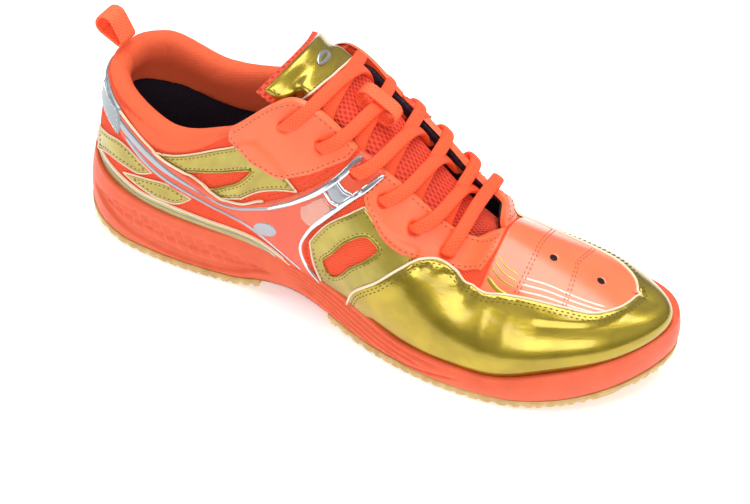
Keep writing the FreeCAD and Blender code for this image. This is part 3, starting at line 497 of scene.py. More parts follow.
# %% Braid and tape
def braid(name, bright, deep, pitch_mm, glow=.1):
    # The emission in the yarn's colour is a painted glow, standing in for the fluorescent dye.
    material, tree, shader = finish(name, bright, Roughness=.7, Sheen_Weight=.4,
                                    Sheen_Roughness=.35, Emission_Strength=glow)
    shader.inputs["Emission Color"].default_value = linear(bright)
    shader.inputs["Sheen Tint"].default_value = linear(bright)
    levels = []
    for turn in (40, -40):
        split = add(tree, "ShaderNodeSeparateXYZ", Vector=cloth_place(tree, turn))
        wave = calc(tree, "MULTIPLY", split.outputs["X"], 2 * math.pi / pitch_mm)
        levels.append(calc(tree, "SINE", wave))
    over = calc(tree, "MAXIMUM", levels[0], levels[1])
    level = calc(tree, "MULTIPLY", calc(tree, "ADD", over, 1.0), .5)
    tree.links.new(ramp(tree, level, (.1, deep), (.7, bright)), shader.inputs["Base Color"])
    bumpy(tree, shader, level, .6, .25)
    return material


lace_braid = braid("lace_braid", "#FF5B2C", "#E8431C", 1.3)
loop_tape = braid("woven_tape", "#FF6E40", "#E9512C", 1.5, .06)

# %% [markdown]
# ### Moulded foam and gum rubber
# EVA foam comes out of its mould with a fine skin, matte, with faint mottling. Natural gum rubber is
# slightly translucent, so light scatters a few millimetres into it.


# %% Foam, rubber, plastics and the dark cushion
def moulded(name, bright, deep, roughness, mottle_mm, **sockets):
    material, tree, shader = finish(name, bright, Roughness=roughness, **sockets)
    place = solid_place(tree)
    cloud = noise(tree, place, mottle_mm, 4, True)
    tree.links.new(ramp(tree, cloud, (.3, deep), (.7, bright)), shader.inputs["Base Color"])
    bumpy(tree, shader, noise(tree, place, .8, 3, True), .25, .08)
    return material


eva = moulded("moulded_eva_foam", "#EB6238", "#E15830", .5, 9, Sheen_Weight=.1,
              Subsurface_Weight=.15, Subsurface_Scale=.004)
gum = moulded("gum_rubber", "#D9B878", "#C29E5E", .38, 6, Subsurface_Weight=.35,
              Subsurface_Scale=.006, Coat_Weight=.15)
nylon = moulded("moulded_nylon", "#2B2A2C", "#212022", .45, 5)
dark_cushion = knit("cushion_cloth", "#3A2C3C", "#1E1826", 1.6, 45, (1, 1, 1), .2, 0)
board_felt = moulded("lasting_felt", "#D9D2C4", "#C8BFAE", .85, 3)
aglet_film = moulded("clear_aglet_film", "#F4B39A", "#F0A88E", .12, 3, Coat_Weight=.5)
window_film = moulded("tinted_window_film", "#D99A86", "#C98676", .16, 12, Metallic=.35,
                      Coat_Weight=.8)
hole_shade = moulded("hole_shadow", "#1C1414", "#120C0C", .9, 2)

# %% [markdown]
# ## Camera, light and floor
# The camera comes first. It stands in front of the
# toe's outer side, as a person looks down at a shoe on a table.

# %% Camera
AZIMUTH, ELEVATION, ROLL = math.radians(21.6), math.radians(40.5), math.radians(5.0)
DISTANCE = 0.797
TARGET = mathutils.Vector((0.0016, -0.0011, 0.0197))
away = mathutils.Vector((math.sin(AZIMUTH) * math.cos(ELEVATION),
                         -math.cos(AZIMUTH) * math.cos(ELEVATION), math.sin(ELEVATION)))
side = (-away).cross(mathutils.Vector((0, 0, 1))).normalized()
upward = side.cross(-away)
tilted = side * math.cos(ROLL) + upward * math.sin(ROLL)
camera_up = upward * math.cos(ROLL) - side * math.sin(ROLL)
camera = bpy.data.objects.new("camera", bpy.data.cameras.new("camera"))
camera.data.angle = math.radians(24.8)
camera.matrix_world = mathutils.Matrix.Translation(TARGET + away * DISTANCE) @ mathutils.Matrix(
    (tilted, camera_up, away)).transposed().to_4x4()
bpy.context.scene.collection.objects.link(camera)
bpy.context.scene.camera = camera
bpy.context.scene.view_settings.view_transform = "Standard"
print("camera at", [round(v, 3) for v in camera.location])

# %% [markdown]
# Soft boxes give patent film its long highlights. A world that is bright above and a little darker at
# the horizon gives it something dark to reflect, as the walls of a studio do.


# %% Lights, world and floor
def soft_box(name, place, size, power, aim=(0, 0, .03)):
    data = bpy.data.lights.new(name, "AREA")
    data.shape = "RECTANGLE"
    data.size, data.size_y = size
    data.energy = power
    lamp = bpy.data.objects.new(name, data)
    lamp.location = place
    toward = mathutils.Vector(aim) - mathutils.Vector(place)
    lamp.rotation_euler = toward.to_track_quat("-Z", "Y").to_euler()
    bpy.context.scene.collection.objects.link(lamp)


soft_box("overhead_box", (.1, .25, 1.1), (1.0, .7), 9.5)
soft_box("front_box", (.5, -.9, .75), (.8, .5), 4.5)
soft_box("side_box", (-.9, -.2, .6), (.5, .5), 2.5)

world = bpy.data.worlds.new("studio")
world.use_nodes = True
bpy.context.scene.world = world
sky = world.node_tree
direction = add(sky, "ShaderNodeTexCoord").outputs["Generated"]
climb = add(sky, "ShaderNodeSeparateXYZ", Vector=direction).outputs["Z"]
shade = ramp(sky, calc(sky, "ADD", calc(sky, "MULTIPLY", climb, .5), .5),
             (0, "#F2F2F2"), (.47, "#D8D8D8"), (.56, "#9C9C9C"), (.72, "#E6E6E6"), (1, "#FFFFFF"))
sky.links.new(shade, sky.nodes["Background"].inputs["Color"])
sky.nodes["Background"].inputs["Strength"].default_value = .64

floor_mesh = bpy.data.meshes.new("floor")
FLOOR = 3.0
floor_mesh.from_pydata([(-FLOOR, -FLOOR, 0), (FLOOR, -FLOOR, 0), (FLOOR, FLOOR, 0),
                        (-FLOOR, FLOOR, 0)], [], [(0, 1, 2, 3)])
floor = bpy.data.objects.new("floor", floor_mesh)
paper, _, paper_shader = finish("pale_paper", "#FBFBFA", Roughness=.65, Emission_Strength=.34)
paper_shader.inputs["Emission Color"].default_value = linear("#FFFFFF")
floor.data.materials.append(paper)
bpy.context.scene.collection.objects.link(floor)
print("three soft boxes and a paper floor")

# %% [markdown]
# ## Panels: cut, layered and rolled at the edge
# A panel is drawn as a closed outline in (q, t), filled with small triangles and laid on the last. Its
# cut edge is rolled down onto what lies below. Panels drawn earlier raise the ones over them, so an
# upper layer shows the ridge of the edge beneath it, as on a real shoe.

# %% Outlines
PLANE = np.array([310.0, 62.0])


def stroke(points, step=1.2):
    """Smooth curve through given points, sampled about every step millimetres."""
    p = np.array(points, float) * PLANE
    if len(p) == 2:
        p = np.vstack([p[0], p.mean(0), p[1]])
    closed = np.allclose(p[0], p[-1])
    before = p[-2] if closed else 2 * p[0] - p[1]
    after = p[1] if closed else 2 * p[-1] - p[-2]
    p = np.vstack([before, p, after])
    chord = np.maximum(np.linalg.norm(np.diff(p, axis=0), axis=1), 1e-6)
    slope = np.diff(p, axis=0) / chord[:, None]
    share = (chord[:-1] / (chord[:-1] + chord[1:]))[:, None]
    tangent = slope[:-1] * (1 - share) + slope[1:] * share
    pieces = []
    for i in range(1, len(p) - 2):
        count = max(int(chord[i] / step), 1)
        r = (np.arange(count) / count)[:, None]
        h = chord[i]
        pieces.append((1 + 2 * r) * (1 - r) ** 2 * p[i] + r * (1 - r) ** 2 * h * tangent[i - 1]
                      + r * r * (3 - 2 * r) * p[i + 1] + r * r * (r - 1) * h * tangent[i])
    pieces.append(p[-2:-1])
    return np.vstack(pieces) / PLANE


def outline(side, *strokes):
    """Closed outline from strokes that meet at corners, counter-clockwise in (q, t)."""
    parts = [stroke(s) for s in strokes]
    loop = np.vstack([part[:-1] for part in parts])
    loop = loop * np.array([side, 1])
    x, y = loop.T
    area = np.sum(x * np.roll(y, -1) - np.roll(x, -1) * y)
    return loop if area > 0 else loop[::-1]


def moved(path, distance, closed=False):
    """The same path, moved over the surface to its left by a distance in millimetres."""
    along, across = slopes_at(path[:, 0], path[:, 1])
    step = np.roll(path, -1, 0) - np.roll(path, 1, 0) if closed else np.gradient(path, axis=0)
    heading = unit(step[:, :1] * along + step[:, 1:] * across)
    left = np.cross(heading, unit(np.cross(across, along)))
    a = np.sum(along * along, 1)
    b = np.sum(along * across, 1)
    c = np.sum(across * across, 1)
    u = np.sum(along * left, 1)
    v = np.sum(across * left, 1)
    scale = np.maximum(a * c - b * b, 1e-6)
    shift = np.column_stack([(c * u - b * v) / scale, (a * v - b * u) / scale])
    return path + shift * np.reshape(distance, (-1, 1))


# %% [markdown]
# Two tests place a point against an outline: is it inside, and how far is it from the cut in real
# millimetres over the last?


# %% Inside and distance
def inside(points, loop):
    """Which (q, t) points lie inside a loop, by counting crossings."""
    x, y = points[:, :1], points[:, 1:]
    x0, y0 = loop.T
    x1, y1 = np.roll(loop, -1, 0).T
    crosses = (y0 > y) != (y1 > y)
    height = np.where(y1 == y0, 1e-12, y1 - y0)
    left = x < (x1 - x0) * (y - y0) / height + x0
    return np.sum(crosses & left, axis=1) % 2 == 1


def distance_mm(points, loop, closed=True):
    """Distance in millimetres from points on the last to a line on it."""
    p = last(points[:, 0], points[:, 1])
    a = last(loop[:, 0], loop[:, 1])
    b = np.roll(a, -1, 0)
    if not closed:
        a, b = a[:-1], b[:-1]
    way = b - a
    length = np.maximum(np.sum(way * way, 1), 1e-9)
    nearest = np.full(len(p), 1e9)
    for start in range(0, len(p), 2000):
        part = p[start:start + 2000, None, :]
        r = np.clip(np.sum((part - a) * way, 2) / length, 0, 1)
        gap = np.linalg.norm(part - a - r[..., None] * way, axis=2)
        nearest[start:start + 2000] = gap.min(1)
    return nearest


layers = []
RAMP_MM = 1.6


def built_up(q, t):
    """Height in millimetres of the panels already laid at these places."""
    points = np.column_stack([np.ravel(q), np.ravel(t)])
    height = np.zeros(len(points))
    for loop, holes, thickness in layers:
        low, high = loop.min(0) - .03, loop.max(0) + .03
        near = np.all((points > low) & (points < high), axis=1)
        if not near.any():
            continue
        chosen = points[near]
        gap = distance_mm(chosen, loop) * np.where(inside(chosen, loop), 1, -1)
        for hole in holes:
            hole_gap = distance_mm(chosen, hole) * np.where(inside(chosen, hole), -1, 1)
            gap = np.minimum(gap, hole_gap)
        rise = np.clip(gap / RAMP_MM + 1, 0, 1)
        height[near] += thickness * rise * rise * (3 - 2 * rise)
    return height.reshape(np.shape(q))


# %% Meshes from arrays
pieces = {}


def mesh_piece(name, points_mm, faces, material, cloth_mm=None, body="shoe"):
    """A smooth-shaded mesh object, in metres, riding on a body."""
    mesh = bpy.data.meshes.new(name)
    mesh.from_pydata((np.asarray(points_mm) * MM).tolist(), [], [list(map(int, f)) for f in faces])
    mesh.polygons.foreach_set("use_smooth", [True] * len(mesh.polygons))
    if cloth_mm is not None:
        layer = mesh.uv_layers.new(name="cloth_mm")
        corner = np.empty(len(mesh.loops), dtype=np.int32)
        mesh.loops.foreach_get("vertex_index", corner)
        layer.data.foreach_set("uv", np.asarray(cloth_mm, np.float32)[corner].ravel())
    mesh.materials.append(material)
    mesh.validate()
    piece = bpy.data.objects.new(name, mesh)
    bpy.context.scene.collection.objects.link(piece)
    if body:
        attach(piece, body)
    pieces[name] = piece
    return piece


def grid_faces(rows, columns, wrap_rows=False, wrap_columns=False):
    faces = []
    for i in range(rows if wrap_rows else rows - 1):
        for j in range(columns if wrap_columns else columns - 1):
            a, b = i % rows, (i + 1) % rows
            c, d = j % columns, (j + 1) % columns
            faces.append((a * columns + c, a * columns + d, b * columns + d, b * columns + c))
    return faces


def sheet_faces(rows, columns):
    """Faces of a sheet with a front grid, then a back grid, closed round its border."""
    half = rows * columns
    front = grid_faces(rows, columns)
    faces = front + [[v + half for v in face[::-1]] for face in front]
    across, along = range(columns), range(rows)
    border = [list(across), [(rows - 1) * columns + j for j in across],
              [i * columns for i in along], [i * columns + columns - 1 for i in along]]
    for line in border:
        faces += [[a, b, b + half, a + half] for a, b in zip(line, line[1:])]
    return faces


def end_faces(rings, count):
    """Two faces that close a tube of rings, each of count places."""
    return [list(range(count)), [(rings - 1) * count + k for k in range(count)]]


def quarter_round(gap, radius, lowest=0):
    """Height, 0 to 1, of an edge rounded over a radius, at a gap from the edge."""
    return np.sqrt(np.clip(1 - (1 - np.clip(gap / radius, 0, 1)) ** 2, lowest, 1))


def faces_outward(piece):
    """Make all faces of a closed piece look outwards."""
    work = bmesh.new()
    work.from_mesh(piece.data)
    bmesh.ops.recalc_face_normals(work, faces=work.faces)
    work.to_mesh(piece.data)
    work.free()


# %% The panel maker
PITCH = 1.5
ROLL_MM = .9
EDGE_GAP_MM = .24


def panel(name, loop, material, thickness=.9, sink=.5, holes=(), roll=ROLL_MM,
          pitch=PITCH):
    """Film panel cut to an outline, with its edges rolled down, over all panels laid before."""
    rings = [loop] + list(holes)
    low, high = loop.min(0), loop.max(0)
    step = pitch / PLANE
    u, v = np.meshgrid(np.arange(low[0], high[0], step[0]),
                       np.arange(low[1], high[1], step[1] * .87))
    u[1::2] += step[0] / 2
    fill = np.column_stack([u.ravel(), v.ravel()])
    for near in (.3, .9):
        fill = np.vstack([fill, *[moved(r, near if r is loop else -near, True) for r in rings]])
    keep = inside(fill, loop)
    for hole in holes:
        keep &= ~inside(fill, hole)
    fill = fill[keep]
    fill = fill[np.min([distance_mm(fill, r) for r in rings], axis=0) > EDGE_GAP_MM]
    points = np.vstack(rings + [fill])
    flat = points * PLANE
    borders = []
    for ring in rings:
        start, n = len(borders), len(ring)
        borders += [(start + i, start + (i + 1) % n) for i in range(n)]
    found = mathutils.geometry.delaunay_2d_cdt([mathutils.Vector(p) for p in flat], borders, [],
                                               0, 1e-5)
    verts = np.array([tuple(p) for p in found[0]]) / PLANE
    triangles = np.array(found[2])
    centre = verts[triangles].mean(1)
    keep = inside(centre, loop)
    for hole in holes:
        keep &= ~inside(centre, hole)
    triangles = triangles[keep]
    gap = np.min([distance_mm(verts, r) for r in rings], axis=0)
    round_edge = quarter_round(gap, roll)
    height = built_up(verts[:, 0], verts[:, 1]) - sink + (thickness + sink) * round_edge
    place, normal = skin(verts[:, 0], verts[:, 1], height)
    a, b, c = place[triangles[:, 0]], place[triangles[:, 1]], place[triangles[:, 2]]
    turned = np.sum(np.cross(b - a, c - a) * normal[triangles[:, 0]], 1) < 0
    triangles[turned] = triangles[turned][:, ::-1]
    layers.append((loop, list(holes), thickness))
    print("%-26s %6d triangles" % (name, len(triangles)))
    return mesh_piece(name, place, triangles, material, verts * PLANE)

# %% [markdown]
# ## Ribbons and stitches
# Foil lines, bindings and piping are ribbons: a path on the upper, with a width that may change and a
# rounded back. A stitch is a small sausage of thread whose ends dip into the film. They could be drawn
# as a pattern, but real thread catches the light, so they are made as geometry.


# %% The ribbon maker
def ribbon(name, path, widths, material, thickness=.6, sink=.35, square=4, closed=False,
           columns=7):
    """Raised line along a (q, t) path. Widths in millimetres are spread evenly along it."""
    widths = np.atleast_1d(np.array(widths, float))
    share = np.linspace(0, 1, len(path))
    if len(widths) > 1:
        width = smooth(np.linspace(0, 1, len(widths)), widths)(share)
    else:
        width = np.full(len(path), widths[0])
    if not closed:
        gone = np.cumsum(np.r_[0, np.linalg.norm(np.diff(last(*path.T), axis=0), axis=1)])
        to_end = np.minimum(gone, gone[-1] - gone)
        width = width * quarter_round(to_end, width / 2 + .1, .02)
    rows = []
    places = []
    for across in np.linspace(-1, 1, columns):
        shifted = moved(path, across * width / 2, closed)
        back = (1 - abs(across) ** square) ** (1 / square)
        height = built_up(shifted[:, 0], shifted[:, 1]) - sink + (thickness + sink) * back
        rows.append(skin(shifted[:, 0], shifted[:, 1], height)[0])
        places.append(shifted * PLANE)
    points = np.stack(rows, 1).reshape(-1, 3)
    cloth = np.stack(places, 1).reshape(-1, 2)
    faces = grid_faces(len(path), columns, wrap_rows=closed)
    return mesh_piece(name, points, faces, material, cloth)


def side_path(side, points):
    return stroke(points) * np.array([side, 1])


# %% The stitch maker
STITCH_RINGS = [(-.5, 0), (-.44, .6), (-.2, 1), (.2, 1), (.44, .6), (.5, 0)]
STITCH_SIDES = 6


def stitches_mm(name, lines, material, pitch=2.7, length=2.0, thick=.5, body="shoe"):
    """Stitches along lines given as (places, outward directions) in millimetres."""
    points = []
    faces = []
    for places, normals in lines:
        gone = np.cumsum(np.r_[0, np.linalg.norm(np.diff(places, axis=0), axis=1)])
        for at in np.arange(pitch / 2, gone[-1] - pitch / 2, pitch):
            i = min(np.searchsorted(gone, at), len(gone) - 1)
            r = (at - gone[i - 1]) / max(gone[i] - gone[i - 1], 1e-6)
            centre = places[i - 1] * (1 - r) + places[i] * r
            ahead = unit(places[i] - places[i - 1])
            up = unit(normals[i] - ahead * np.dot(normals[i], ahead))
            aside = np.cross(ahead, up)
            start = len(points)
            for along, size in STITCH_RINGS:
                dip = (abs(along) * 2) ** 3 * thick * .7
                for k in range(STITCH_SIDES):
                    angle = 2 * math.pi * k / STITCH_SIDES
                    points.append(centre + ahead * along * length - up * dip
                                  + (aside * math.cos(angle) + up * math.sin(angle))
                                  * max(size, .05) * thick / 2)
            faces += [[start + v for v in face]
                      for face in grid_faces(len(STITCH_RINGS), STITCH_SIDES, wrap_columns=True)]
    return mesh_piece(name, points, faces, material, None, body)


def stitches(name, paths, material, lift=.12, **settings):
    """Stitches along (q, t) paths on top of all the panels laid so far."""
    lines = []
    for path in paths:
        height = built_up(path[:, 0], path[:, 1]) + lift
        lines.append(skin(path[:, 0], path[:, 1], height))
    return stitches_mm(name, lines, material, **settings)


def seam(loop, distance):
    """Closed path inside a loop, without the kinks that tight corners would make."""
    path = moved(loop, distance, True)
    path = path[distance_mm(path, loop) > .9 * distance]
    return np.vstack([path, path[:1]])


print("ribbon and stitch makers ready")

# %% [markdown]
# ## The upper's under-layer
# The mesh sock of the upper goes on the last first. It shows in the slots and between the bands.


# %% Mesh body and linings
def shell(name, stations, low, high, outer, inner, rows, material):
    """Closed sheet between two heights above the last, from low(q) to high(q)."""
    share = np.linspace(0, 1, rows)
    q = np.repeat(stations[:, None], rows, 1)
    t = low(stations)[:, None] * (1 - share) + high(stations)[:, None] * share
    front = skin(q, t, outer)[0]
    back = skin(q, t, inner)[0]
    points = np.vstack([front.reshape(-1, 3), back.reshape(-1, 3)])
    cloth = np.vstack([np.column_stack([q.ravel(), t.ravel()]) * PLANE] * 2)
    piece = mesh_piece(name, points, sheet_faces(len(stations), rows), material, cloth)
    faces_outward(piece)
    return piece


def level(value):
    return lambda q: np.full(len(q), value, float)


UPPER_Q = np.linspace(-THROAT_FOOT - .007, THROAT_FOOT + .007, 335)
collar_seam = smooth([0, .10, .15, .215, .265, .315, .345, .44],
                     [.84, .84, .80, .70, .74, .82, .90, .95])
mesh_top = smooth([0, .30, .36, .46, .48, THROAT_FOOT], [.88, .88, .93, .975, .985, .985])
mesh_sock = shell("upper_mesh", UPPER_Q, level(-.16), lambda q: mesh_top(np.abs(q)), 0, -1.1, 44,
                  open_mesh)
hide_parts("quarter_mesh_lateral", "quarter_mesh_medial")

TOE_Q = np.linspace(-THROAT_FOOT - .004, -.985, 60)
toe_sock = shell("toe_mesh", TOE_Q, level(-.12), level(2.12), 0, -1.1, 90, open_mesh)
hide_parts("vamp_mesh")
lining_top = smooth([0, .36, .44, .5, THROAT_FOOT], [.6, .6, .8, .975, .975])
# The linings take the dark lining finish, which paints the shade inside the shoe.
side_lining = shell("side_lining", UPPER_Q, level(-.16), lambda q: lining_top(np.abs(q)),
                    -1.5, -3.2, 36, lining_knit)
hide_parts("lining_lateral", "lining_medial")
toe_lining = shell("toe_lining", TOE_Q, level(-.1), level(2.1), -2.4, -3.4, 60, lining_knit)
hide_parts("vamp_lining")
print("mesh sock:", len(mesh_sock.data.polygons), "faces")

# %% [markdown]
# ## Bands and panels
# They are laid in the order in which they are sewn: bands on the mesh, then the vamp, the eyestays, the
# toe cap and last the long wing. Each outline is a few strokes that meet at corners.

# %% Outlines of the gold bands
REAR_BAND = [[(.225, .66), (.30, .745), (.35, .775), (.385, .75), (.43, .62), (.475, .53), (.50, .50)],
             [(.50, .50), (.455, .42), (.40, .34)],
             [(.40, .34), (.335, .37), (.29, .49), (.225, .66)]]
REAR_SLOT = [[(.285, .545), (.33, .565), (.385, .55), (.408, .515), (.395, .475), (.36, .445),
              (.335, .42), (.31, .46), (.285, .545)]]
LOW_BAND_1 = [[(.075, .31), (.115, .42), (.165, .50), (.225, .43)],
              [(.225, .43), (.20, .34), (.165, .305), (.12, .25), (.085, .13)],
              [(.085, .13), (.075, .31)]]
LOW_BAND_2 = [[(.165, .22), (.205, .31), (.255, .375), (.305, .29)],
              [(.305, .29), (.28, .20), (.235, .17)], [(.235, .17), (.165, .22)]]
MID_PANEL = [[(.535, .26), (.56, .46), (.582, .60), (.598, .72)], [(.598, .72), (.64, .68), (.68, .72)],
             [(.68, .72), (.685, .55), (.66, .30), (.64, -.05)], [(.64, -.05), (.56, -.05)],
             [(.56, -.05), (.545, .09), (.535, .26)]]
MID_SLOT = [[(.560, .17), (.575, .29), (.597, .47), (.62, .575), (.636, .56), (.628, .45), (.607, .30),
             (.585, .14), (.572, .10), (.560, .17)]]
RAND_TOP = [(0, .10), (.05, .13), (.10, .16), (.15, .155), (.20, .13), (.255, .14), (.335, .11),
            (.40, .075), (.46, .03), (.50, -.04)]

# %% Lay the heel rand and the gold bands
rand_line = [(-q, t) for q, t in RAND_TOP[::-1]] + RAND_TOP[1:]
rand_loop = outline(1, rand_line, [rand_line[-1], (0, -.05), rand_line[0]])
rand = panel("heel_rand_film", rand_loop, rand_gold, .8)
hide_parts("heel_rand")
rand_path = stroke(rand_line)
ribbon("heel_rand_binding", rand_path, 1.1, cream, .5, square=2)
ribbon("heel_rand_pipe", moved(rand_path, -2.6), .8, silver, .35, square=2)

gold_bands = {}
for side, word in SIDES:
    band_1 = outline(side, *LOW_BAND_1)
    band_2 = outline(side, *LOW_BAND_2)
    low = panel("low_band_rear_" + word, band_1, gold_thin, .8)
    panel("low_band_front_" + word, band_2, gold_thin, .8)
    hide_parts("low_band_" + word)
    slot_loop = outline(side, *REAR_SLOT)
    rear_loop = outline(side, *REAR_BAND)
    rear = panel("rear_band_film_" + word, rear_loop, gold_thin, .9, holes=[slot_loop])
    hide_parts("rear_band_" + word)
    mid_slot = outline(side, *MID_SLOT)
    mid_loop = outline(side, *MID_PANEL)
    mid = panel("side_panel_film_" + word, mid_loop, gold_thin, .9, holes=[mid_slot])
    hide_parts("side_panel_" + word)
    gold_bands[word] = (band_1, band_2, rear_loop, slot_loop, mid_loop, mid_slot)

# %% Bindings and stitches of the gold bands
for side, word in SIDES:
    band_1, band_2, rear_loop, slot_loop, mid_loop, mid_slot = gold_bands[word]
    for number, loop in enumerate((band_1, band_2, rear_loop, mid_loop)):
        ribbon("band_binding_%s_%d" % (word, number + 1), loop, .7, cream, .35, closed=True,
               square=2, columns=5)
    for number, loop in enumerate((slot_loop, mid_slot)):
        ribbon("slot_binding_%s_%d" % (word, number + 1), loop, .7, gold_thin, .35, closed=True,
               square=2, columns=5)
    rows = [seam(loop, 1.8) for loop in (band_1, band_2, rear_loop, mid_loop)]
    rows += [moved(loop, -1.6, True) for loop in (slot_loop, mid_slot)]
    stitches("band_stitches_" + word, rows, dark_thread, pitch=2.4, length=1.3)

# %% [markdown]
# The vamp panel lies over the toes. Its seams are transverse rows of stitches, and printed foil
# stripes run beside them on the outer side.

# %% The vamp panel
VAMP = [[(.777, .52), (.777, 1.0), (.777, 1.48)],
        [(.777, 1.48), (.86, 1.5), (.93, 1.46), (.972, 1.24), (.990, 1.15)],
        [(.990, 1.15), (.997, 1.0), (.990, .85)],
        [(.990, .85), (.972, .76), (.93, .54), (.86, .5), (.777, .52)]]
VENTS = [(.858, .94), (.93, .93)]


def circle(q, t, radius, count=20):
    """Round loop on the upper about a place, counter-clockwise."""
    along, across = slopes_at(np.array([q]), np.array([t]))
    a = radius / np.linalg.norm(along)
    b = radius / np.linalg.norm(across)
    angle = 2 * np.pi * np.arange(count) / count
    return np.column_stack([q + a * np.cos(angle), t + b * np.sin(angle)])


vamp_loop = outline(-1, *VAMP)
vent_loops = [circle(-s, t, 1.2, 14) for s, t in VENTS]
vamp = panel("vamp_film", vamp_loop, coral_gloss, .9, holes=vent_loops)
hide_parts("vamp_panel")
# Each vent gets a sunk ring in the near-black hole_shadow finish: painted shade inside the vent.
for number, (s, t) in enumerate(VENTS):
    ribbon("vent_%d" % (number + 1), circle(-s, t, 1.0, 14), 1.6, hole_shade, -.2, .1, 2, True)

STRIPE_ROWS = [(.60, 2.4), (.66, 1.0), (.70, 1.0), (.74, 1.0)]
for number, (t, width) in enumerate(STRIPE_ROWS):
    behind = stroke([(-.782, t + .05), (-.80, t + .01), (-.822, t - .005)])
    ahead = stroke([(-.828, t - .01), (-.86, t), (-.90, t - .03), (-.935, t - .06)])
    ribbon("gold_stripe_%d" % (number + 1), behind, width, gold, .12, .1)
    ribbon("white_stripe_%d" % (number + 1), ahead, width, white_foil, .12, .1)
seams = []
for s in (.824, .829, .884, .888):
    seams.append(stroke([(-s, .62), (-s - .004, .8), (-s - .006, 1.0), (-s - .004, 1.2),
                         (-s, 1.38)]))
stitches("vamp_stitches", seams, red_thread, pitch=2.6, length=1.6, thick=.45)

# %% [markdown]
# Eyestays carry the lace holes, so they are two layers of film, rolled over the throat's edge. The
# holes are punched through.

# %% Eyestays
EYELETS = [(.715, .80), (.665, .82), (.615, .83), (.567, .85), (.510, .83), (.445, .80)]
UPPER_STAY = [[(.345, .975), (.37, 1.0), (.46, 1.005), (.535, 1.0), (.553, .985)],
              [(.553, .985), (.553, .90), (.54, .80), (.505, .61), (.46, .50), (.415, .55), (.37, .73),
               (.347, .86), (.345, .975)]]
LOWER_STAY = [[(.588, .99), (.65, 1.005), (.72, 1.005), (.757, 1.0), (.775, 1.0)],
              [(.775, 1.0), (.777, .80), (.77, .66)], [(.77, .66), (.735, .70), (.70, .68)],
              [(.70, .68), (.685, .66), (.66, .625), (.635, .63), (.612, .685), (.59, .76), (.583, .86),
               (.588, .99)]]
HOLE_MM = 2.3


def inner_holes(side, numbers):
    return [circle(side * EYELETS[n][0], EYELETS[n][1], HOLE_MM, 18) for n in numbers]


for side, word in SIDES:
    upper = outline(side, *UPPER_STAY)
    lower = outline(side, *LOWER_STAY)
    top = panel("eyestay_upper_film_" + word, upper, coral, 1.2, 1.9,
                inner_holes(side, (4, 5)), 1.1)
    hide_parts("eyestay_upper_" + word)
    foot = panel("eyestay_lower_film_" + word, lower, coral, 1.2, 1.9,
                 inner_holes(side, (0, 1, 2)), 1.1)
    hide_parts("eyestay_lower_" + word)
    stitches("eyestay_stitches_" + word, [seam(upper, 2.2), seam(lower, 2.2)], red_thread,
             pitch=2.7, length=1.5, thick=.45)


# %% [markdown]
# ### The toe cap
# One piece of patent film is stretched hot over the toe, so it has no folds. Its upper edge carries a
# cream binding and two rows of olive stitches.


# %% Film pulled taut
CLEAR_OF_EDGE_MM = 4.5
PUSH_OUT_MM = .2


def taut(piece, loop, steps):
    """Film stretched hot over the last: hollows fill and ridges sink, away from its edge.
    Each step says how near the toe it reaches and how many rounds it takes."""
    work = bmesh.new()
    work.from_mesh(piece.data)
    layer = work.loops.layers.uv["cloth_mm"]
    flat = np.zeros((len(work.verts), 2))
    for face in work.faces:
        for corner in face.loops:
            flat[corner.vert.index] = corner[layer].uv
    gap = distance_mm(flat / PLANE, loop)
    work.verts.ensure_lookup_table()
    station = 1 - np.abs(np.abs(flat[:, 0] / PLANE[0]) - 1)
    for reach, rounds in steps:
        middle = [v for v in work.verts
                  if gap[v.index] > CLEAR_OF_EDGE_MM and station[v.index] < reach]
        for _ in range(rounds):
            bmesh.ops.smooth_vert(work, verts=middle, factor=.5, use_axis_x=True, use_axis_y=True,
                                  use_axis_z=True)
        for vert in middle:
            vert.co += vert.normal * PUSH_OUT_MM * MM
    work.to_mesh(piece.data)
    work.free()
    print("%s: %d places pulled taut" % (piece.name, len(middle)))


# %% Toe cap
CAP_EDGE = [(.602, -.05), (.615, .12), (.65, .37), (.672, .56), (.69, .69), (.712, .745), (.735, .70),
            (.757, .60), (.785, .565), (.81, .595), (.845, .62), (.89, .61), (.92, .60), (.95, .68),
            (.968, .78), (.982, .86), (.993, .895)]
cap_edge = ([(-s, t) for s, t in CAP_EDGE] + [(-1.0, .90)]
            + [(-2 + s, t) for s, t in CAP_EDGE[::-1]])
cap_foot = [(q, -.05) for q in (-2 + CAP_EDGE[0][0], -1.2, -1, -.8, -CAP_EDGE[0][0])]
cap_loop = outline(1, cap_edge, cap_foot)
cap = panel("toe_cap_film", cap_loop, gold, 1.2, .6, pitch=1.7)
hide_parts("toe_cap")
taut(cap, cap_loop, ((.86, 14), (.83, 24), (.80, 34)))
cap_path = stroke(cap_edge)
cap_turn = 1 if cap_path[0, 0] > cap_path[-1, 0] else -1
ribbon("toe_cap_binding", moved(cap_path, .1 * cap_turn), 1.2, cream, .45, square=2)
stitches("toe_cap_stitches", [moved(cap_path, 2.2 * cap_turn), moved(cap_path, 3.7 * cap_turn)],
         dark_thread, pitch=2.5, length=1.6, thick=.55)

# %% [markdown]
# ### The wing
# The long coral wing ties the heel to the lace hole halfway up. Foil lines follow its edges and end in
# a chromed fork round that hole.

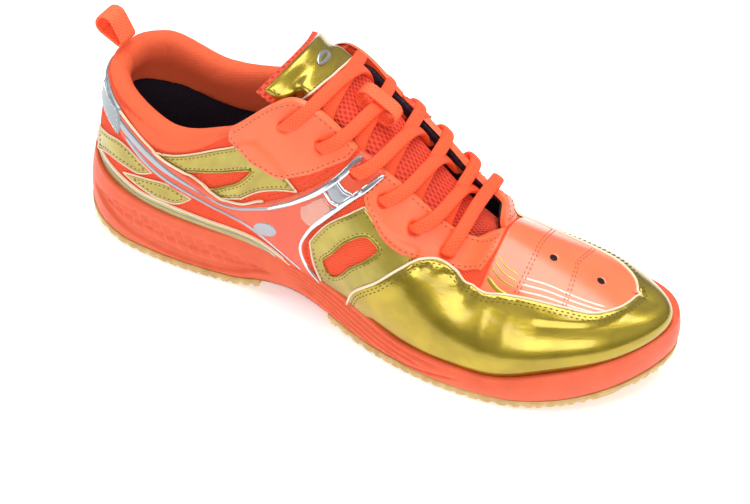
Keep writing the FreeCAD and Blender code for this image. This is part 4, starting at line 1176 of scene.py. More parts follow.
# %% Wing panel
WING_TOP = [(.085, .80), (.13, .785), (.18, .735), (.235, .645), (.295, .53), (.335, .42), (.37, .335),
            (.405, .30), (.445, .34), (.49, .46), (.525, .62), (.548, .80), (.556, .985)]
WING_FRONT = [(.600, .985), (.592, .83), (.577, .66), (.555, .47), (.533, .30), (.525, .16),
              (.535, .05), (.56, -.05)]
WING_LOW = [(.515, -.05), (.47, .05), (.41, .13), (.355, .225), (.29, .325), (.25, .39), (.21, .46),
            (.165, .545), (.12, .61), (.085, .625)]
for side, word in SIDES:
    loop = outline(side, WING_TOP, [WING_TOP[-1], (.578, 1.0), WING_FRONT[0]], WING_FRONT,
                   [WING_FRONT[-1], WING_LOW[0]], WING_LOW, [WING_LOW[-1], WING_TOP[0]])
    wing = panel("wing_film_" + word, loop, wing_coral, 1.1, 1.6, inner_holes(side, (3,)))
    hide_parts("support_wing_" + word)
    ribbon("wing_top_binding_" + word, side_path(side, WING_TOP[:9]), 1.0, cream, .45, square=2)

# %% Foil lines and the fork
FOIL_TOP = [(.085, .70), (.13, .69), (.17, .655), (.21, .60), (.27, .485), (.33, .365), (.37, .29),
            (.41, .265), (.455, .31), (.50, .44), (.535, .61), (.553, .77), (.563, .965)]
FOIL_LOW = [(.17, .60), (.21, .51), (.26, .42), (.32, .315), (.38, .215), (.43, .13), (.475, .06),
            (.517, -.01)]
FOIL_FRONT = [(.598, .965), (.588, .81), (.574, .66), (.552, .47), (.53, .31), (.519, .17), (.527, .07),
              (.552, -.03)]
FOILS = (("foil_top_", FOIL_TOP, [5.6, 5.2, 4.6, 2.2, 1.4, 1.5, 2.2, 2.9, 3.2], silver, .45),
         ("foil_low_", FOIL_LOW, [2.6, 2.0, 1.5, 1.3, 1.1, .6], silver, .45),
         ("foil_front_", FOIL_FRONT, [3.4, 3.2, 2.9, 2.4, 1.9, 1.5, 1.2], chrome, .55),
         ("fork_prong_", FOIL_TOP[8:], [1.8, 2.6, 3.3, 3.5], chrome, .75))
FORK_BARS = [[(.549, .74), (.567, .715), (.581, .735)], [(.54, .63), (.557, .60), (.571, .62)]]
WINDOW = [[(.541, .60), (.556, .575), (.566, .58)], [(.566, .58), (.552, .46), (.535, .36)],
          [(.535, .36), (.515, .38), (.512, .44)], [(.512, .44), (.528, .52), (.541, .60)]]
PLATE = [[(.551, .73), (.566, .705), (.579, .725)], [(.579, .725), (.573, .66), (.569, .625)],
         [(.569, .625), (.557, .61), (.543, .64)], [(.543, .64), (.547, .68), (.551, .73)]]
for side, word in SIDES:
    panel("fork_window_" + word, outline(side, *WINDOW), window_film, .25, .2, roll=.6)
    panel("fork_plate_" + word, outline(side, *PLATE), silver, .25, .2, roll=.5)
    for name, line, widths, film, thickness in FOILS:
        ribbon(name + word, side_path(side, line), widths, film, thickness)
    for number, bar in enumerate(FORK_BARS):
        ribbon("fork_bar_%s_%d" % (word, number + 1), side_path(side, bar), 2.2 - .7 * number,
               chrome, .6)
    stitches("wing_stitches_" + word,
             [moved(side_path(side, WING_TOP[:12]), 2.0 * side),
              moved(side_path(side, WING_FRONT), 1.0 * side)], red_thread, pitch=2.7, length=1.3,
             thick=.42)

# %% [markdown]
# A plain oval stands where a maker's sign would be, raised a little in silver foil.

# %% Heel tape and plain badges
for side, word in SIDES:
    centre = np.array([side * .452, .165])
    angle = np.linspace(0, 2 * np.pi, 33)[:-1]
    tilt = math.radians(12)
    wide, tall = 7.0 * np.cos(angle), 3.0 * np.sin(angle)
    turned = np.column_stack([wide * math.cos(tilt) - tall * math.sin(tilt),
                              wide * math.sin(tilt) + tall * math.cos(tilt)])
    badge = centre + turned / PLANE * np.array([side, 1])
    badge = badge if side > 0 else badge[::-1]
    panel("wing_badge_" + word, badge, silver, .35, .2, roll=.6, pitch=1.2)

TAPE = [[(-.150, .79), (-.08, .83), (0, .84), (.08, .83), (.150, .79)],
        [(.150, .79), (.156, .66), (.150, .53)],
        [(.150, .53), (.08, .56), (0, .57), (-.08, .56), (-.150, .53)],
        [(-.150, .53), (-.156, .66), (-.150, .79)]]
tape_loop = outline(1, *TAPE)
tape = panel("heel_tape_film", tape_loop, heel_silver, 1.0, .5)
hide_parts("heel_tape")
stitches("heel_tape_stitches", [seam(tape_loop, 1.6)], pale_thread, pitch=2.6, length=1.6, thick=.5)
for number, (t, arch) in enumerate(((.77, .04), (.565, .025))):
    line = stroke([(-.145, t), (-.06, t + arch), (.06, t + arch), (.145, t)])
    ribbon("heel_tape_line_%d" % (number + 1), line, .9, chrome, .3, square=2)

# %% [markdown]
# ## Sole unit
# The moulded foam is a wall swept round the sole's outline. Its side carries two reliefs that were cut
# into the mould: a lens of fine ribs at the heel and a fan of grooves from the waist to the ball.

# %% Lines of the sole
GROUND = [(-8, 15), (0, 9), (9, 5.2), (20, 2.2), (35, 0), (86, 0), (95, 1), (104, 3.4), (123, 6),
          (142, 3.4), (155, 1.2), (170, 0), (232, 0), (252, 1.8), (275, 6.2), (292, 11.5), (300, 14.6)]
TREAD_MM = 4.5
TREAD_ROUND_MM = 1.8
ground = smooth(*zip(*GROUND))
edge_knots = np.array([(to_x(x), y * WIDTH_GRADE) for x, y in SOLE_OUTLINE])
chords = np.linalg.norm(np.roll(edge_knots, -1, 0) - edge_knots, axis=1)
sole_edge = periodic(np.r_[0, np.cumsum(chords)], edge_knots)


dense, _ = sole_edge(np.linspace(0, chords.sum(), 2400, endpoint=False))
toe_index = int(np.argmax(dense[:, 0]))
lateral_half = dense[:toe_index + 1]
medial_half = np.vstack([dense[toe_index:], dense[:1]])[::-1]


def edge_y(x):
    """The sole's outer and inner edge at a distance along the shoe."""
    low = np.interp(x, np.maximum.accumulate(lateral_half[:, 0]), lateral_half[:, 1])
    high = np.interp(x, np.maximum.accumulate(medial_half[:, 0]), medial_half[:, 1])
    return low, high


def to_centre(plan, share, reach=100):
    """Plan points moved a share of the way to the shoe's centre line."""
    x = np.clip(plan[:, 0], -reach, reach)
    low, high = edge_y(x)
    return plan * (1 - share) + np.column_stack([x, (low + high) / 2]) * share


print("sole outline %.0f mm round" % chords.sum())

# %% Reliefs in the foam's wall
LENS_TOP = smooth([8, 40, 75, 112], [.62, .80, .74, .40])
LENS_LOW = smooth([8, 40, 75, 112], [.52, .20, .08, .30])
FAN = [((112, .84), (205, .80)), ((114, .74), (196, .52)), ((116, .64), (186, .30)),
       ((118, .52), (174, .14)), ((120, .40), (160, .08))]


def groove(distance, width, depth):
    return -depth * np.exp(-(distance / width) ** 2)


def wall_relief(x, v, wall):
    """Outward height in millimetres at a distance from the heel and a share up the wall."""
    top, low = LENS_TOP(x), LENS_LOW(x)
    share = (v - low) / (top - low)
    from_edge = np.minimum(share, 1 - share) * (top - low) * wall
    ends = np.clip(np.minimum(x - 8, 112 - x) / 8, 0, 1)
    within = np.clip(from_edge / 1.0, 0, 1) * ends
    slant = x + share * 9
    ribs_here = np.sin(2 * np.pi * slant / 6.0) * .42 + np.sin(2 * np.pi * slant / 3.0) * .2
    height = within * (-.8 + ribs_here * np.clip((share - .3) * 5, 0, 1))
    for at in (.06, .16, .27, .60):
        height += groove((share - at) * (top - low) * wall, .6, .7) * within
    for (x0, v0), (x1, v1) in FAN:
        along = np.clip((x - x0) / (x1 - x0), 0, 1)
        line = v0 + (v1 - v0) * along ** 1.3
        fade = np.clip(np.minimum(x - x0, x1 - x) / 9, 0, 1)
        height += groove((v - line) * wall, .65, .8) * fade
    crescent = .04 + .62 * np.clip((x - 166) / 46, 0, 1) ** 2.2
    fade = np.clip(np.minimum(x - 160, 214 - x) / 10, 0, 1)
    return height + groove((v - crescent) * wall, .75, .9) * fade


# %% The moulded midsole
AROUND = 820
WALL_ROWS = 34
plan, heading = sole_edge(np.linspace(0, chords.sum(), AROUND, endpoint=False))
inward = unit(np.column_stack([-heading[:, 1], heading[:, 0]]))
feather_dense = feather(np.linspace(-1, 1, 3000, endpoint=False))[0]
nearest = np.array([np.argmin(np.sum((feather_dense - p) ** 2, 1)) for p in plan])
meets = feather_dense[nearest]
into_cup = unit(np.column_stack([meets[:, 0] * 0, -np.sign(meets[:, 1])])) * .2 + inward * .8
x_mm = from_heel(plan[:, 0])
wall_low = ground(x_mm) + TREAD_MM
wall_high = rim_height(x_mm)
meet_high = rim_height(from_heel(meets[:, 0]))
BULGE_MM = 1.0
LEAN_MM = 2.4
WALL_TOP_MM = 45.5


def ring(xy, z):
    return np.column_stack([xy, np.broadcast_to(z, len(xy))])


sole_rings = []
for share in (.97, .7, .35, .1, .02):
    flat = to_centre(plan, share)
    sole_rings.append(ring(flat, ground(from_heel(flat[:, 0])) + TREAD_MM))
for v in np.linspace(0, 1, WALL_ROWS):
    z = wall_low + (wall_high - wall_low) * v
    bulge = BULGE_MM * math.sin(math.pi * min(v * 1.1, 1)) ** .8
    soft = 1.4 * max(1 - v / .07, 0) ** 2 + .5 * max(1 - (1 - v) / .06, 0) ** 2
    out = bulge - soft - LEAN_MM * z / WALL_TOP_MM + wall_relief(x_mm, v, wall_high - wall_low)
    sole_rings.append(ring(plan - inward * out[:, None], z))
lip = (sole_rings[-1][:, :2] + meets) / 2
sole_rings.append(ring(lip, (wall_high + meet_high) / 2 + .25))
sole_rings.append(ring(meets + into_cup * .3, meet_high - .1))
sole_rings.append(ring(meets + into_cup * 1.6, meet_high - 3.5))
cup_floor = floor_height(from_heel(meets[:, 0]))
sole_rings.append(ring(meets + into_cup * 3.0, cup_floor + .6))
for share in (.15, .5, .97):
    flat = to_centre(meets + into_cup * 3.0, share)
    sole_rings.append(ring(flat, floor_height(from_heel(flat[:, 0]))))
faces = grid_faces(len(sole_rings), AROUND, wrap_columns=True)
first, final = end_faces(len(sole_rings), AROUND)
faces += [first, final[::-1]]
midsole = mesh_piece("midsole_foam", np.vstack(sole_rings), faces, eva)
faces_outward(midsole)
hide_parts("midsole")
print("midsole:", len(midsole.data.polygons), "faces")

# %% [markdown]
# The gum treads have a herringbone, the usual pattern on a court shoe: it grips in every direction. It
# is cut through to the edge, so that it can be seen from the side.


# %% Gum treads
def tread(name, start, end, node, pitch=5.6, cut=1.2):
    """Gum tread between two distances from the heel, with a herringbone cut into its ground face."""
    rows = int((end - start) / .9)
    columns = 90
    x_at = start + (end - start) * (1 - np.cos(np.linspace(0, math.pi, rows))) / 2
    share = (1 - np.cos(np.linspace(0, math.pi, columns))) / 2
    x = to_x(x_at)
    low, high = edge_y(x)
    X = np.repeat(x[:, None], columns, 1)
    Y = low[:, None] + (high - low)[:, None] * share
    ends_gap = np.minimum(x_at - start, end - x_at)[:, None] + .05
    side_gap = np.minimum(Y - low[:, None], high[:, None] - Y)
    gap = np.minimum(ends_gap, side_gap)
    rounded = TREAD_ROUND_MM * (1 - quarter_round(gap, TREAD_ROUND_MM))
    zigzag = np.abs((Y / 15) % 2 - 1) * 9
    phase = ((X + zigzag) / pitch) % 1
    cut_here = np.clip((.30 - np.abs(phase - .5)) * 14, 0, 1)
    waist = np.clip((np.abs(Y - (low + high)[:, None] / 2) - 1.2) / .8, 0, 1)
    base = ground(x_at)[:, None]
    under = base + np.minimum(rounded + cut * (1 - cut_here) * waist, TREAD_MM - .8)
    over = np.broadcast_to(base + TREAD_MM + .3, under.shape)
    points = np.vstack([np.stack([X, Y, z], 2).reshape(-1, 3) for z in (under, over)])
    piece = mesh_piece(name, points, sheet_faces(rows, columns), gum)
    faces_outward(piece)
    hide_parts(node)
    return piece


tread("heel_tread", .2, 104, "outsole_heel")
front_tread = tread("ball_tread", 142, 291.8, "outsole_forefoot")
print("front tread:", len(front_tread.data.polygons), "faces")

# %% [markdown]
# ## Padded parts
# Foam under cloth swells between its seams. Each padded piece is drawn nearly full, then a short cloth
# simulation presses it out from its pinned seams. It runs at twenty times the real size. The solver
# goes much too far at places on the collar, so a cap limits every move, and it leaves the tongue as
# drawn. The result is kept as plain geometry.


# %% Short cloth simulation
BLOW_UP = 20
LAST_FRAME = 14
CLOTH = {"quality": 5, "mass": .1, "tension_stiffness": 12, "compression_stiffness": 12,
         "shear_stiffness": 4, "bending_stiffness": .8, "use_pressure": True,
         "vertex_group_mass": "pins"}


def puffed(piece, pinned, pressure, cap_mm):
    """Swell a closed piece between pinned points, by at most cap_mm."""
    mesh = piece.data
    drawn = np.empty(len(mesh.vertices) * 3)
    mesh.vertices.foreach_get("co", drawn)
    mesh.vertices.foreach_set("co", drawn * BLOW_UP)
    mesh.update()
    pins = piece.vertex_groups.new(name="pins")
    pins.add([int(i) for i in pinned], 1.0, "REPLACE")
    cloth = piece.modifiers.new("cloth", "CLOTH")
    for key, value in CLOTH.items():
        setattr(cloth.settings, key, value)
    cloth.settings.uniform_pressure_force = pressure
    cloth.settings.effector_weights.gravity = 0
    cloth.point_cache.frame_end = LAST_FRAME
    scene = bpy.context.scene
    for frame_number in range(1, LAST_FRAME + 1):
        scene.frame_set(frame_number)
    solved = piece.evaluated_get(bpy.context.evaluated_depsgraph_get()).data
    found = np.empty_like(drawn)
    solved.vertices.foreach_get("co", found)
    scene.frame_set(1)
    piece.modifiers.remove(cloth)
    piece.vertex_groups.remove(pins)
    move = (found / BLOW_UP - drawn).reshape(-1, 3)
    size_mm = np.linalg.norm(move, axis=1) / MM
    move *= np.minimum(1, cap_mm / np.maximum(size_mm, 1e-6))[:, None]
    mesh.vertices.foreach_set("co", drawn + move.ravel())
    mesh.update()
    print("%-20s swelled %.2f mm on average, %.2f at most"
          % (piece.name, size_mm.mean(), size_mm.max()))


# %% Collar
COLLAR_END = .44
COLLAR_COLUMNS = 40
roll_radius = smooth([0, .2, .32, .36, COLLAR_END], [5.2, 5.5, 4.2, 2.8, 2.0])
inner_foot = smooth([0, .3, .38, COLLAR_END], [.42, .44, .6, .8])


def collar_section(q):
    """Closed section of the collar at a station: up outside, over the roll, down inside and back."""
    s = abs(q)
    seam_t, r, foot_t = (float(f([s])[0]) for f in (collar_seam, roll_radius, inner_foot))
    crest, out = (a[0] for a in skin(np.array([q]), np.array([1.0]), 1.6 - r))
    up = unit(slopes_at(np.array([q]), np.array([1.0]))[1])[0]
    centre = crest - up * r
    angle = np.linspace(0, math.pi, 9)[:, None]
    crown = centre + (out * np.cos(angle) + up * np.sin(angle)) * r
    middle_t = seam_t + (1 - seam_t) * .45
    outside = [(seam_t - .02, -.3), (seam_t, .4), (middle_t, 1.5)]
    inside_t = foot_t + (1 - foot_t) * .62
    lower_t = foot_t + (1 - foot_t) * .3
    inside_face = [(inside_t, 1.0 - 2 * r), (lower_t, -6.0), (foot_t, -3.8)]
    back = [(foot_t + .05, -3.0), (foot_t + (seam_t - foot_t) * .6, -2.4), (seam_t - .04, -1.3)]
    flat = [(skin(np.array([q]), np.array([t]), o)[0][0]) for t, o in outside + inside_face + back]
    line = np.vstack([flat[:3], crown[1:], flat[3:]])
    line = np.vstack([line, line[:1]])
    gone = np.r_[0, np.cumsum(np.linalg.norm(np.diff(line, axis=0), axis=1))]
    at = np.linspace(0, gone[-1], COLLAR_COLUMNS, endpoint=False)
    return np.column_stack([np.interp(at, gone, line[:, k]) for k in range(3)]), at


collar_q = np.linspace(-COLLAR_END, COLLAR_END, 181)
sections = [collar_section(q) for q in collar_q]
collar_points = np.stack([s for s, _ in sections])
blurred = collar_points.copy()
for _ in range(3):
    blurred[:, 1:-1] = (blurred[:, :-2] + 2 * blurred[:, 1:-1] + blurred[:, 2:]) / 4
    blurred[1:-1] = (blurred[:-2] + 2 * blurred[1:-1] + blurred[2:]) / 4
rows = len(collar_q)
collar_cloth = np.stack([np.column_stack([np.full(COLLAR_COLUMNS, q * PLANE[0]), at])
                         for q, (_, at) in zip(collar_q, sections)]).reshape(-1, 2)
faces = grid_faces(rows, COLLAR_COLUMNS, wrap_columns=True)
faces += end_faces(rows, COLLAR_COLUMNS)
collar = mesh_piece("padded_collar", blurred.reshape(-1, 3), faces, collar_knit, collar_cloth)
faces_outward(collar)
fixed = [i * COLLAR_COLUMNS + j for i in range(rows) for j in range(COLLAR_COLUMNS)
         if j < 2 or j > COLLAR_COLUMNS * .72 or i < 2 or i > rows - 3]
puffed(collar, fixed, 14, 1.2)
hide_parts("collar_padding", "collar_lining")

# %% [markdown]
# The tongue is one soft pad of big-hole mesh, bent where its tip folds back. Its outer face is a surface
# of two numbers, u along it and c across it, and the patch sewn to the tip uses the same surface.

# %% Surface of the tongue
TONGUE_S = [.75, .71, .66, .61, .56, .51, .475, .455]
TONGUE_DEEP = -9.4
TONGUE_UP = np.array([.45, 0, .893])
TONGUE_BACK = np.array([-.893, 0, .45])
CROWN_MM = 2.2
PAD_MM = 5.5
tuck = smooth([.455, .56, .75], [.13, .16, .22])
TIP_ROWS = [(113, 115.8, 27, 106, 105.0), (105.5, 121.0, 29, 98, 110.5)]
ACROSS = np.array([-1, -.8, -.6, -.3, 0, .3, .6, .8, 1])


def tongue_row(s):
    reach = float(tuck([s])[0])
    t = np.array([.99 - reach, .99 - reach / 2, .99])
    outer_side = skin(np.full(3, -s), t, TONGUE_DEEP)[0]
    inner_side = skin(np.full(3, s), t[::-1], TONGUE_DEEP)[0]
    share = np.array([[.25], [.5], [.75]])
    crown = outer_side[-1] * (1 - share) + inner_side[0] * share
    return np.vstack([outer_side, crown + TONGUE_UP * CROWN_MM * 4 * share * (1 - share), inner_side])


def tip_row(x, z, half, edge_x, edge_z):
    bend = ACROSS ** 2
    px = to_x(x + (edge_x - x) * bend)
    return np.column_stack([px, ACROSS * half * WIDTH_GRADE, z + (edge_z - z) * bend])


tongue_rows = [tongue_row(s) for s in TONGUE_S]
tongue_rows.append(tongue_rows[-1] + TONGUE_BACK * 4.5)
tongue_rows += [tip_row(*row) for row in TIP_ROWS]
foot_step = tongue_rows[0] - tongue_rows[1]
tongue_rows.insert(0, tongue_rows[0] + foot_step * 1.2 + [0, 0, -1.5])
by_row = smooth(range(len(tongue_rows)), np.array(tongue_rows).reshape(len(tongue_rows), -1))
U_DENSE, C_DENSE = 201, 81
lengthwise = by_row(np.linspace(0, len(tongue_rows) - 1, U_DENSE)).reshape(U_DENSE, 9, 3)
by_column = smooth(ACROSS, lengthwise.transpose(1, 0, 2).reshape(9, -1))
tongue_grid = by_column(np.linspace(-1, 1, C_DENSE)).reshape(C_DENSE, U_DENSE, 3).transpose(1, 0, 2)
for _ in range(12):
    tongue_grid[1:-1] = (tongue_grid[:-2] + 2 * tongue_grid[1:-1] + tongue_grid[2:]) / 4
tongue_normals = unit(np.cross(np.gradient(tongue_grid, axis=1), np.gradient(tongue_grid, axis=0)))
if tongue_normals[U_DENSE // 2, C_DENSE // 2, 2] < 0:
    tongue_normals = -tongue_normals


def tongue_face(u, c, height):
    """Points over the tongue: u 0 at the foot to 1 at the tip, c -1 outer side to 1."""
    i = np.clip(u * (U_DENSE - 1), 0, U_DENSE - 1.001)
    j = np.clip((c + 1) / 2 * (C_DENSE - 1), 0, C_DENSE - 1.001)
    i0, j0 = i.astype(int), j.astype(int)
    a, b = (i - i0)[..., None], (j - j0)[..., None]

    def mixed(grid):
        return ((grid[i0, j0] * (1 - b) + grid[i0, j0 + 1] * b) * (1 - a)
                + (grid[i0 + 1, j0] * (1 - b) + grid[i0 + 1, j0 + 1] * b) * a)

    normal = unit(mixed(tongue_normals))
    return mixed(tongue_grid) + normal * np.asarray(height)[..., None], normal


def pad_edge(u, c):
    """Share of the pad's full height, which falls off to its sides and to its tip."""
    return (np.sqrt(np.clip(1 - np.abs(c) ** 5, 0, 1))
            * np.sqrt(np.clip(1 - np.clip(u * 16 - 15, 0, 1) ** 3, .04, 1)))


def pad_height(c, edge):
    return -PAD_MM / 2 + PAD_MM / 2 * edge + .5 * (1 - c ** 2) * edge


middle_steps = np.linalg.norm(np.diff(tongue_grid[:, C_DENSE // 2], axis=0), axis=1)
print("tongue %.0f mm long" % middle_steps.sum())

# %% Padded tongue
WIDE_MM, LONG_MM, BACK_MAP_MM = 56, 118, 80
rows, columns = 110, 44
u = np.repeat(np.linspace(0, 1, rows)[:, None], columns, 1)
c = np.repeat(np.linspace(-1, 1, columns)[None], rows, 0)
edge = pad_edge(u, c)
edge *= np.sqrt(np.clip(u * 30 + .1, .1, 1))
front_face = tongue_face(u, c, pad_height(c, edge))[0]
back_face = tongue_face(u, c, -PAD_MM / 2 - PAD_MM / 2 * edge)[0]
points = np.concatenate([front_face, back_face[:, ::-1]], axis=1)
width = columns * 2
cloth = np.concatenate([np.stack([c * WIDE_MM / 2, u * LONG_MM], 2),
                        np.stack([-c * WIDE_MM / 2 + BACK_MAP_MM, u * LONG_MM], 2)], axis=1)
faces = grid_faces(rows, width, wrap_columns=True)
faces += end_faces(rows, width)
tongue = mesh_piece("padded_tongue", points.reshape(-1, 3), faces, tongue_mesh, cloth.reshape(-1, 2),
                    body=None)
faces_outward(tongue)
fixed = [i * width + j for i in range(rows) for j in range(width)
         if i < 3 or i > rows - 3 or j % columns in (0, columns - 1)
         or (i > rows * .72 and j < columns)]
puffed(tongue, fixed, 10, .9)
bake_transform(tongue)
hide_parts("tongue_lower", "tongue_tip")

# %% [markdown]
# The patch at the tip is gold film with a cream edge and a row of stitches, and a plain silver oval in
# place of a maker's sign.

# %% Tongue patch
PATCH_HALF, PATCH_END = .93, .985
PATCH_LOW = smooth([-1, -.6, 0, .55, 1], [.80, .735, .695, .685, .69])
rows, columns = 40, 64
c = np.repeat(np.linspace(-PATCH_HALF, PATCH_HALF, columns)[None], rows, 0)
low = PATCH_LOW(c[0])[None]
v = np.repeat(np.linspace(0, 1, rows)[:, None], columns, 1)
u = low + (PATCH_END - low) * v
to_rim = np.minimum(np.minimum(v * 24, (1 - v) * 24), (1 - np.abs(c) / PATCH_HALF) * 27)
round_edge = quarter_round(to_rim, 1.2)


def over_pad(u, c, height):
    """Points above the swollen pad of the tongue."""
    return tongue_face(u, c, pad_height(c, pad_edge(u, c)) + height)


upper_face = over_pad(u, c, .1 + 1.1 * round_edge)[0]
lower_face = over_pad(u, c, -.9 * round_edge)[0]
points = np.vstack([upper_face.reshape(-1, 3), lower_face.reshape(-1, 3)])
cloth = np.vstack([np.column_stack([c.ravel() * WIDE_MM / 2, u.ravel() * LONG_MM])] * 2)
patch = mesh_piece("tongue_patch_film", points, sheet_faces(rows, columns), gold, cloth, None)
faces_outward(patch)
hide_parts("tongue_patch")


CORD_SIDES = 10


def cord_mesh(name, line, radius, material, body, ups, closed=False, squash_to=1.0):
    """Round or flattened bead along a line of places in millimetres."""
    line = np.asarray(line)
    ahead = np.roll(line, -1, 0) - np.roll(line, 1, 0) if closed else np.gradient(line, axis=0)
    ahead = unit(ahead)
    aside = unit(np.cross(ahead, ups))
    upward = np.cross(aside, ahead)
    angle = np.linspace(0, 2 * np.pi, CORD_SIDES, endpoint=False)
    rings = line[:, None] + (aside[:, None] * np.cos(angle)[None, :, None]
                             + upward[:, None] * np.sin(angle)[None, :, None] * squash_to) * radius
    faces = grid_faces(len(line), CORD_SIDES, wrap_rows=closed, wrap_columns=True)
    if not closed:
        faces += end_faces(len(line), CORD_SIDES)
    piece = mesh_piece(name, rings.reshape(-1, 3), faces, material, None, body)
    faces_outward(piece)
    return piece


line_c = np.linspace(-PATCH_HALF, PATCH_HALF, 90)
rim, rim_up = over_pad(PATCH_LOW(line_c), line_c, .75)
binding = cord_mesh("tongue_patch_binding", rim, .65, cream, None, rim_up)
sewn, sewn_up = over_pad(PATCH_LOW(line_c) + .018, line_c * .96, 1.25)
side_v = np.linspace(.03, .97, 40)
flank_c = np.full(40, .86)
flank_u = PATCH_LOW(flank_c) + (PATCH_END - PATCH_LOW(flank_c)) * side_v
flank_lines = [over_pad(flank_u, flank_c * sign, 1.25) for sign in (-1, 1)]
sewing = stitches_mm("tongue_patch_stitches", [(sewn, sewn_up)] + flank_lines, dark_thread, 2.6,
                     1.7, .5, body=None)
angle = np.linspace(0, 2 * np.pi, 48, endpoint=False)
oval, oval_up = over_pad(.885 + .036 * np.sin(angle), .05 + .17 * np.cos(angle), 1.35)
cord_mesh("tongue_badge", oval, .9, silver, "tongue_tip", oval_up, closed=True, squash_to=.4)
for piece in (patch, binding, sewing):
    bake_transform(piece)

# %% [markdown]
# ## Laces and loops
# The lace runs in one piece: up from its end inside the collar, crossing over the tongue from hole to
# hole, straight across at the foot, and back. The strands cross through a small keeper loop. It is held
# everywhere, so it isn't a free cord.


# %% Route of the lace
OVER, UNDER = 5.2, -5.6
LEAN_IN = .3
LOW_LIFT, HIGH_LIFT = 6.0, 9.6


def place_over(side, s, t, height):
    """Place, and direction along the shoe, at a height over the upper."""
    place, normal = skin(np.array([side * s]), np.array([t]), height)
    along = slopes_at(np.array([side * s]), np.array([t]))[0][0]
    return place[0], unit(along * np.sign(along[0]))


def tongue_middle(s):
    sides = [skin(np.array([k * s]), np.array([.99]), TONGUE_DEEP)[0][0] for k in (-1, 1)]
    return (sides[0] + sides[1]) / 2 + TONGUE_UP * CROWN_MM


def strand(side, number, high):
    s, t = EYELETS[number]
    below_s, below_t = EYELETS[number - 1]
    step = below_s - s
    middle = tongue_middle(s + step / 2) + TONGUE_UP * (HIGH_LIFT if high else LOW_LIFT)
    return [place_over(side, s, t, OVER), place_over(side, s + step * LEAN_IN, .97, OVER - .6),
            (middle, -TONGUE_BACK),
            place_over(-side, below_s - step * LEAN_IN, .985, UNDER),
            place_over(-side, below_s, below_t, UNDER)]


def lace_tail(side):
    s, t = EYELETS[-1]
    return [place_over(side, s + .012, .40, -6.9), place_over(side, s + .006, .56, -6.6),
            place_over(side, s, t, UNDER)]


route = lace_tail(-1)
side = -1
for number in range(len(EYELETS) - 1, 0, -1):
    route += strand(side, number, number % 2 == 1)
    side = -side
foot_s, foot_t = EYELETS[0]
route += [place_over(side, foot_s, foot_t, OVER), place_over(side, foot_s, .98, OVER),
          (tongue_middle(foot_s) + TONGUE_UP * HIGH_LIFT, -TONGUE_BACK),
          place_over(-side, foot_s, .98, OVER), place_over(-side, foot_s, foot_t, OVER)]
way_back = lace_tail(1)
side = 1
for number in range(len(EYELETS) - 1, 0, -1):
    way_back += strand(side, number, number % 2 == 0)
    side = -side
route += way_back[::-1]
print(len(route), "turning places on the lace's route")


# %% Flat braided lace
def rounded_route(control, per_piece=12):
    """Curve that touches the middle of every run between control places (quadratic spline)."""
    mid = (control[:-1] + control[1:]) / 2
    r = np.linspace(0, 1, per_piece, endpoint=False)[:, None]
    parts = [control[0] * (1 - r) + mid[0] * r]
    for i in range(1, len(control) - 1):
        parts.append(mid[i - 1] * (1 - r) ** 2 + control[i] * 2 * r * (1 - r) + mid[i] * r * r)
    parts.append(mid[-1] * (1 - r) + control[-1] * r)
    parts.append(control[-1:])
    return np.vstack(parts)


def even_steps(line, others, step):
    gone = np.r_[0, np.cumsum(np.linalg.norm(np.diff(line, axis=0), axis=1))]
    at = np.linspace(0, gone[-1], max(int(gone[-1] / step), 2))
    pick = [np.column_stack([np.interp(at, gone, a[:, k]) for k in range(3)]) for a in (line, others)]
    return pick[0], pick[1], at


def flat_strip(name, line, widths_way, at, half_wide, half_thick, material, body, power=2.6,
               sides=16, closed=False):
    """Strip of oval section along a line, its width along a given direction."""
    ahead = np.roll(line, -1, 0) - np.roll(line, 1, 0) if closed else np.gradient(line, axis=0)
    ahead = unit(ahead)
    wide = unit(widths_way - ahead * np.sum(ahead * widths_way, 1, keepdims=True))
    thick = np.cross(ahead, wide)
    angle = np.linspace(0, 2 * np.pi, sides, endpoint=False)
    a = np.sign(np.cos(angle)) * np.abs(np.cos(angle)) ** (2 / power) * half_wide
    b = np.sign(np.sin(angle)) * np.abs(np.sin(angle)) ** (2 / power) * half_thick
    points = line[:, None] + wide[:, None] * a[None, :, None] + thick[:, None] * b[None, :, None]
    round_mm = np.r_[0, np.cumsum(np.hypot(np.diff(a), np.diff(b)))]
    cloth = np.stack([np.repeat(at[:, None], sides, 1), np.repeat(round_mm[None], len(line), 0)], 2)
    faces = grid_faces(len(line), sides, wrap_rows=closed, wrap_columns=True)
    if not closed:
        faces += end_faces(len(line), sides)
    piece = mesh_piece(name, points.reshape(-1, 3), faces, material, cloth.reshape(-1, 2), body)
    faces_outward(piece)
    return piece


LACE_WIDE_MM, LACE_THICK_MM = 6.2, 2.7
control = np.array([place for place, _ in route])
along_way = np.array([way for _, way in route])
line, ways, at = even_steps(rounded_route(control), rounded_route(along_way), 1.1)
lace = flat_strip("braided_lace", line, ways, at, LACE_WIDE_MM / 2, LACE_THICK_MM / 2, lace_braid,
                  "shoe")
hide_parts("lace")
print("lace %.0f mm long" % at[-1])


# %% Keeper and pull loop
def belt_line(start, start_radius, end, end_radius, count=26):
    """Closed line round two circles in the side view, given by their (x, z) centres."""
    start, end = np.array(start, float), np.array(end, float)
    way = end - start
    length = np.linalg.norm(way)
    way = way / length
    aside = np.array([-way[1], way[0]])
    lean = math.asin((start_radius - end_radius) / length)
    far = np.linspace(math.pi / 2 - lean, -math.pi / 2 + lean, count)
    near = np.linspace(-math.pi / 2 + lean, -3 * math.pi / 2 - lean, count)
    plan_points = [end + (way * math.cos(a) + aside * math.sin(a)) * end_radius for a in far]
    plan_points += [start + (way * math.cos(a) + aside * math.sin(a)) * start_radius for a in near]
    plan_points = np.array(plan_points)
    return np.insert(plan_points, 1, 0, axis=1)


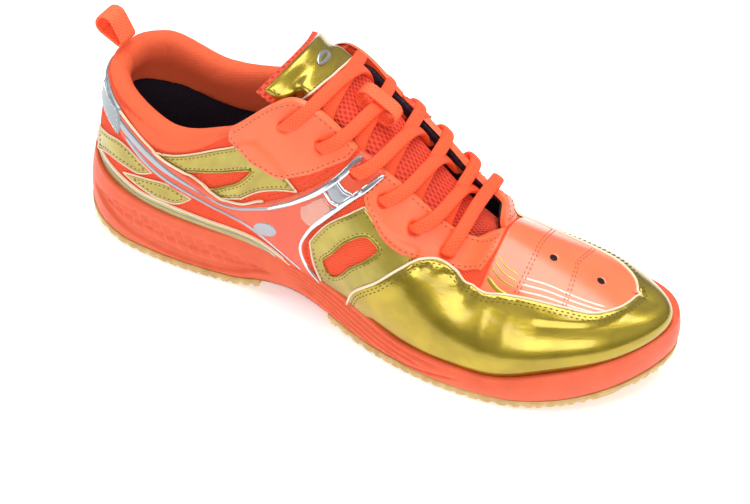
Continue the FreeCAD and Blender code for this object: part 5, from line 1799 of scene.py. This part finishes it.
def tape_loop(name, line, width, tape, body, node):
    """Closed loop of woven tape."""
    closed_line = np.vstack([line, line[:1]])
    y_way = np.repeat([[0, 1.0, 0]], len(closed_line), 0)
    even, ways, at = even_steps(closed_line, y_way, .7)
    piece = flat_strip(name, even[:-1], ways[:-1], at[:-1], width / 2, tape / 2, loop_tape, body,
                       power=5, closed=True)
    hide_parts(node)
    return piece


keeper_low, keeper_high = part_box("lace_keeper")
keeper_centre = (np.array(keeper_low) + np.array(keeper_high)) / 2 / MM
keeper_at = keeper_centre[[0, 2]] - TONGUE_UP[[0, 2]] * 1.6
keeper_way = TONGUE_BACK[[0, 2]] * 6
keeper_line = belt_line(keeper_at - keeper_way, 4.1, keeper_at + keeper_way, 4.1)
tape_loop("keeper_tape", keeper_line, 8, 1.2, "shoe", "lace_keeper")
heel_top = last(np.array([0.0]), np.array([1.0]))[0]
loop_root = np.array([heel_top[0] + 3.4, heel_top[2] + 3.7])
loop_way = np.array([-.72, .69]) / np.hypot(.72, .69)
pull_line = belt_line(loop_root, 1.6, loop_root + loop_way * 10, 4.5)
tape_loop("pull_loop_tape", pull_line, 12, 1.4, "pull_loop", "pull_loop")

# %% Cushion inside
SOCK_INSET, SOCK_REACH = 7.2, 92
sock_q = np.linspace(-1, 1, 260, endpoint=False)
sock_edge, sock_heading = feather(sock_q)
sock_in = unit(np.column_stack([sock_heading[:, 1], -sock_heading[:, 0]]))
SOCK_LOW, SOCK_THICK = 1.95, 4.5
sock_rings = []
for share in (.97, .5, .1):
    flat = to_centre(sock_edge + sock_in * SOCK_INSET, share, SOCK_REACH)
    sock_rings.append(ring(flat, floor_height(from_heel(flat[:, 0])) + SOCK_LOW))
for angle in np.linspace(-.5, .5, 7) * math.pi:
    flat = sock_edge + sock_in * (SOCK_INSET + 1.8 * (1 - math.cos(angle)))
    height = SOCK_LOW + SOCK_THICK / 2 * (1 + math.sin(angle))
    sock_rings.append(ring(flat, floor_height(from_heel(flat[:, 0])) + height))
for share in (.08, .2, .4, .6, .8, .97):
    flat = to_centre(sock_edge + sock_in * SOCK_INSET, share, SOCK_REACH)
    cup = SOCK_LOW + SOCK_THICK - .5 * math.sin(math.pi * share)
    sock_rings.append(ring(flat, floor_height(from_heel(flat[:, 0])) + cup))
count = len(sock_q)
faces = grid_faces(len(sock_rings), count, wrap_columns=True)
faces += end_faces(len(sock_rings), count)
sock_points = np.vstack(sock_rings)
cushion = mesh_piece("foot_cushion", sock_points, faces, dark_cushion, sock_points[:, :2],
                     "sockliner")
faces_outward(cushion)
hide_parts("sockliner")

# %% [markdown]
# Some engineering parts keep their own mesh: the plate under the arch, the lasting board, the two
# stiffeners inside the upper and the lace's hard tips. They only take a finish.

# %% Finishes on the parts left as they are
for node, material in (("arch_shank", nylon), ("strobel_board", board_felt), ("toe_puff", board_felt),
                       ("heel_counter", board_felt), ("aglets", aglet_film)):
    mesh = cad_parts[node].data
    for index in range(len(mesh.materials)):
        mesh.materials[index] = material
print(len(pieces), "pieces made")
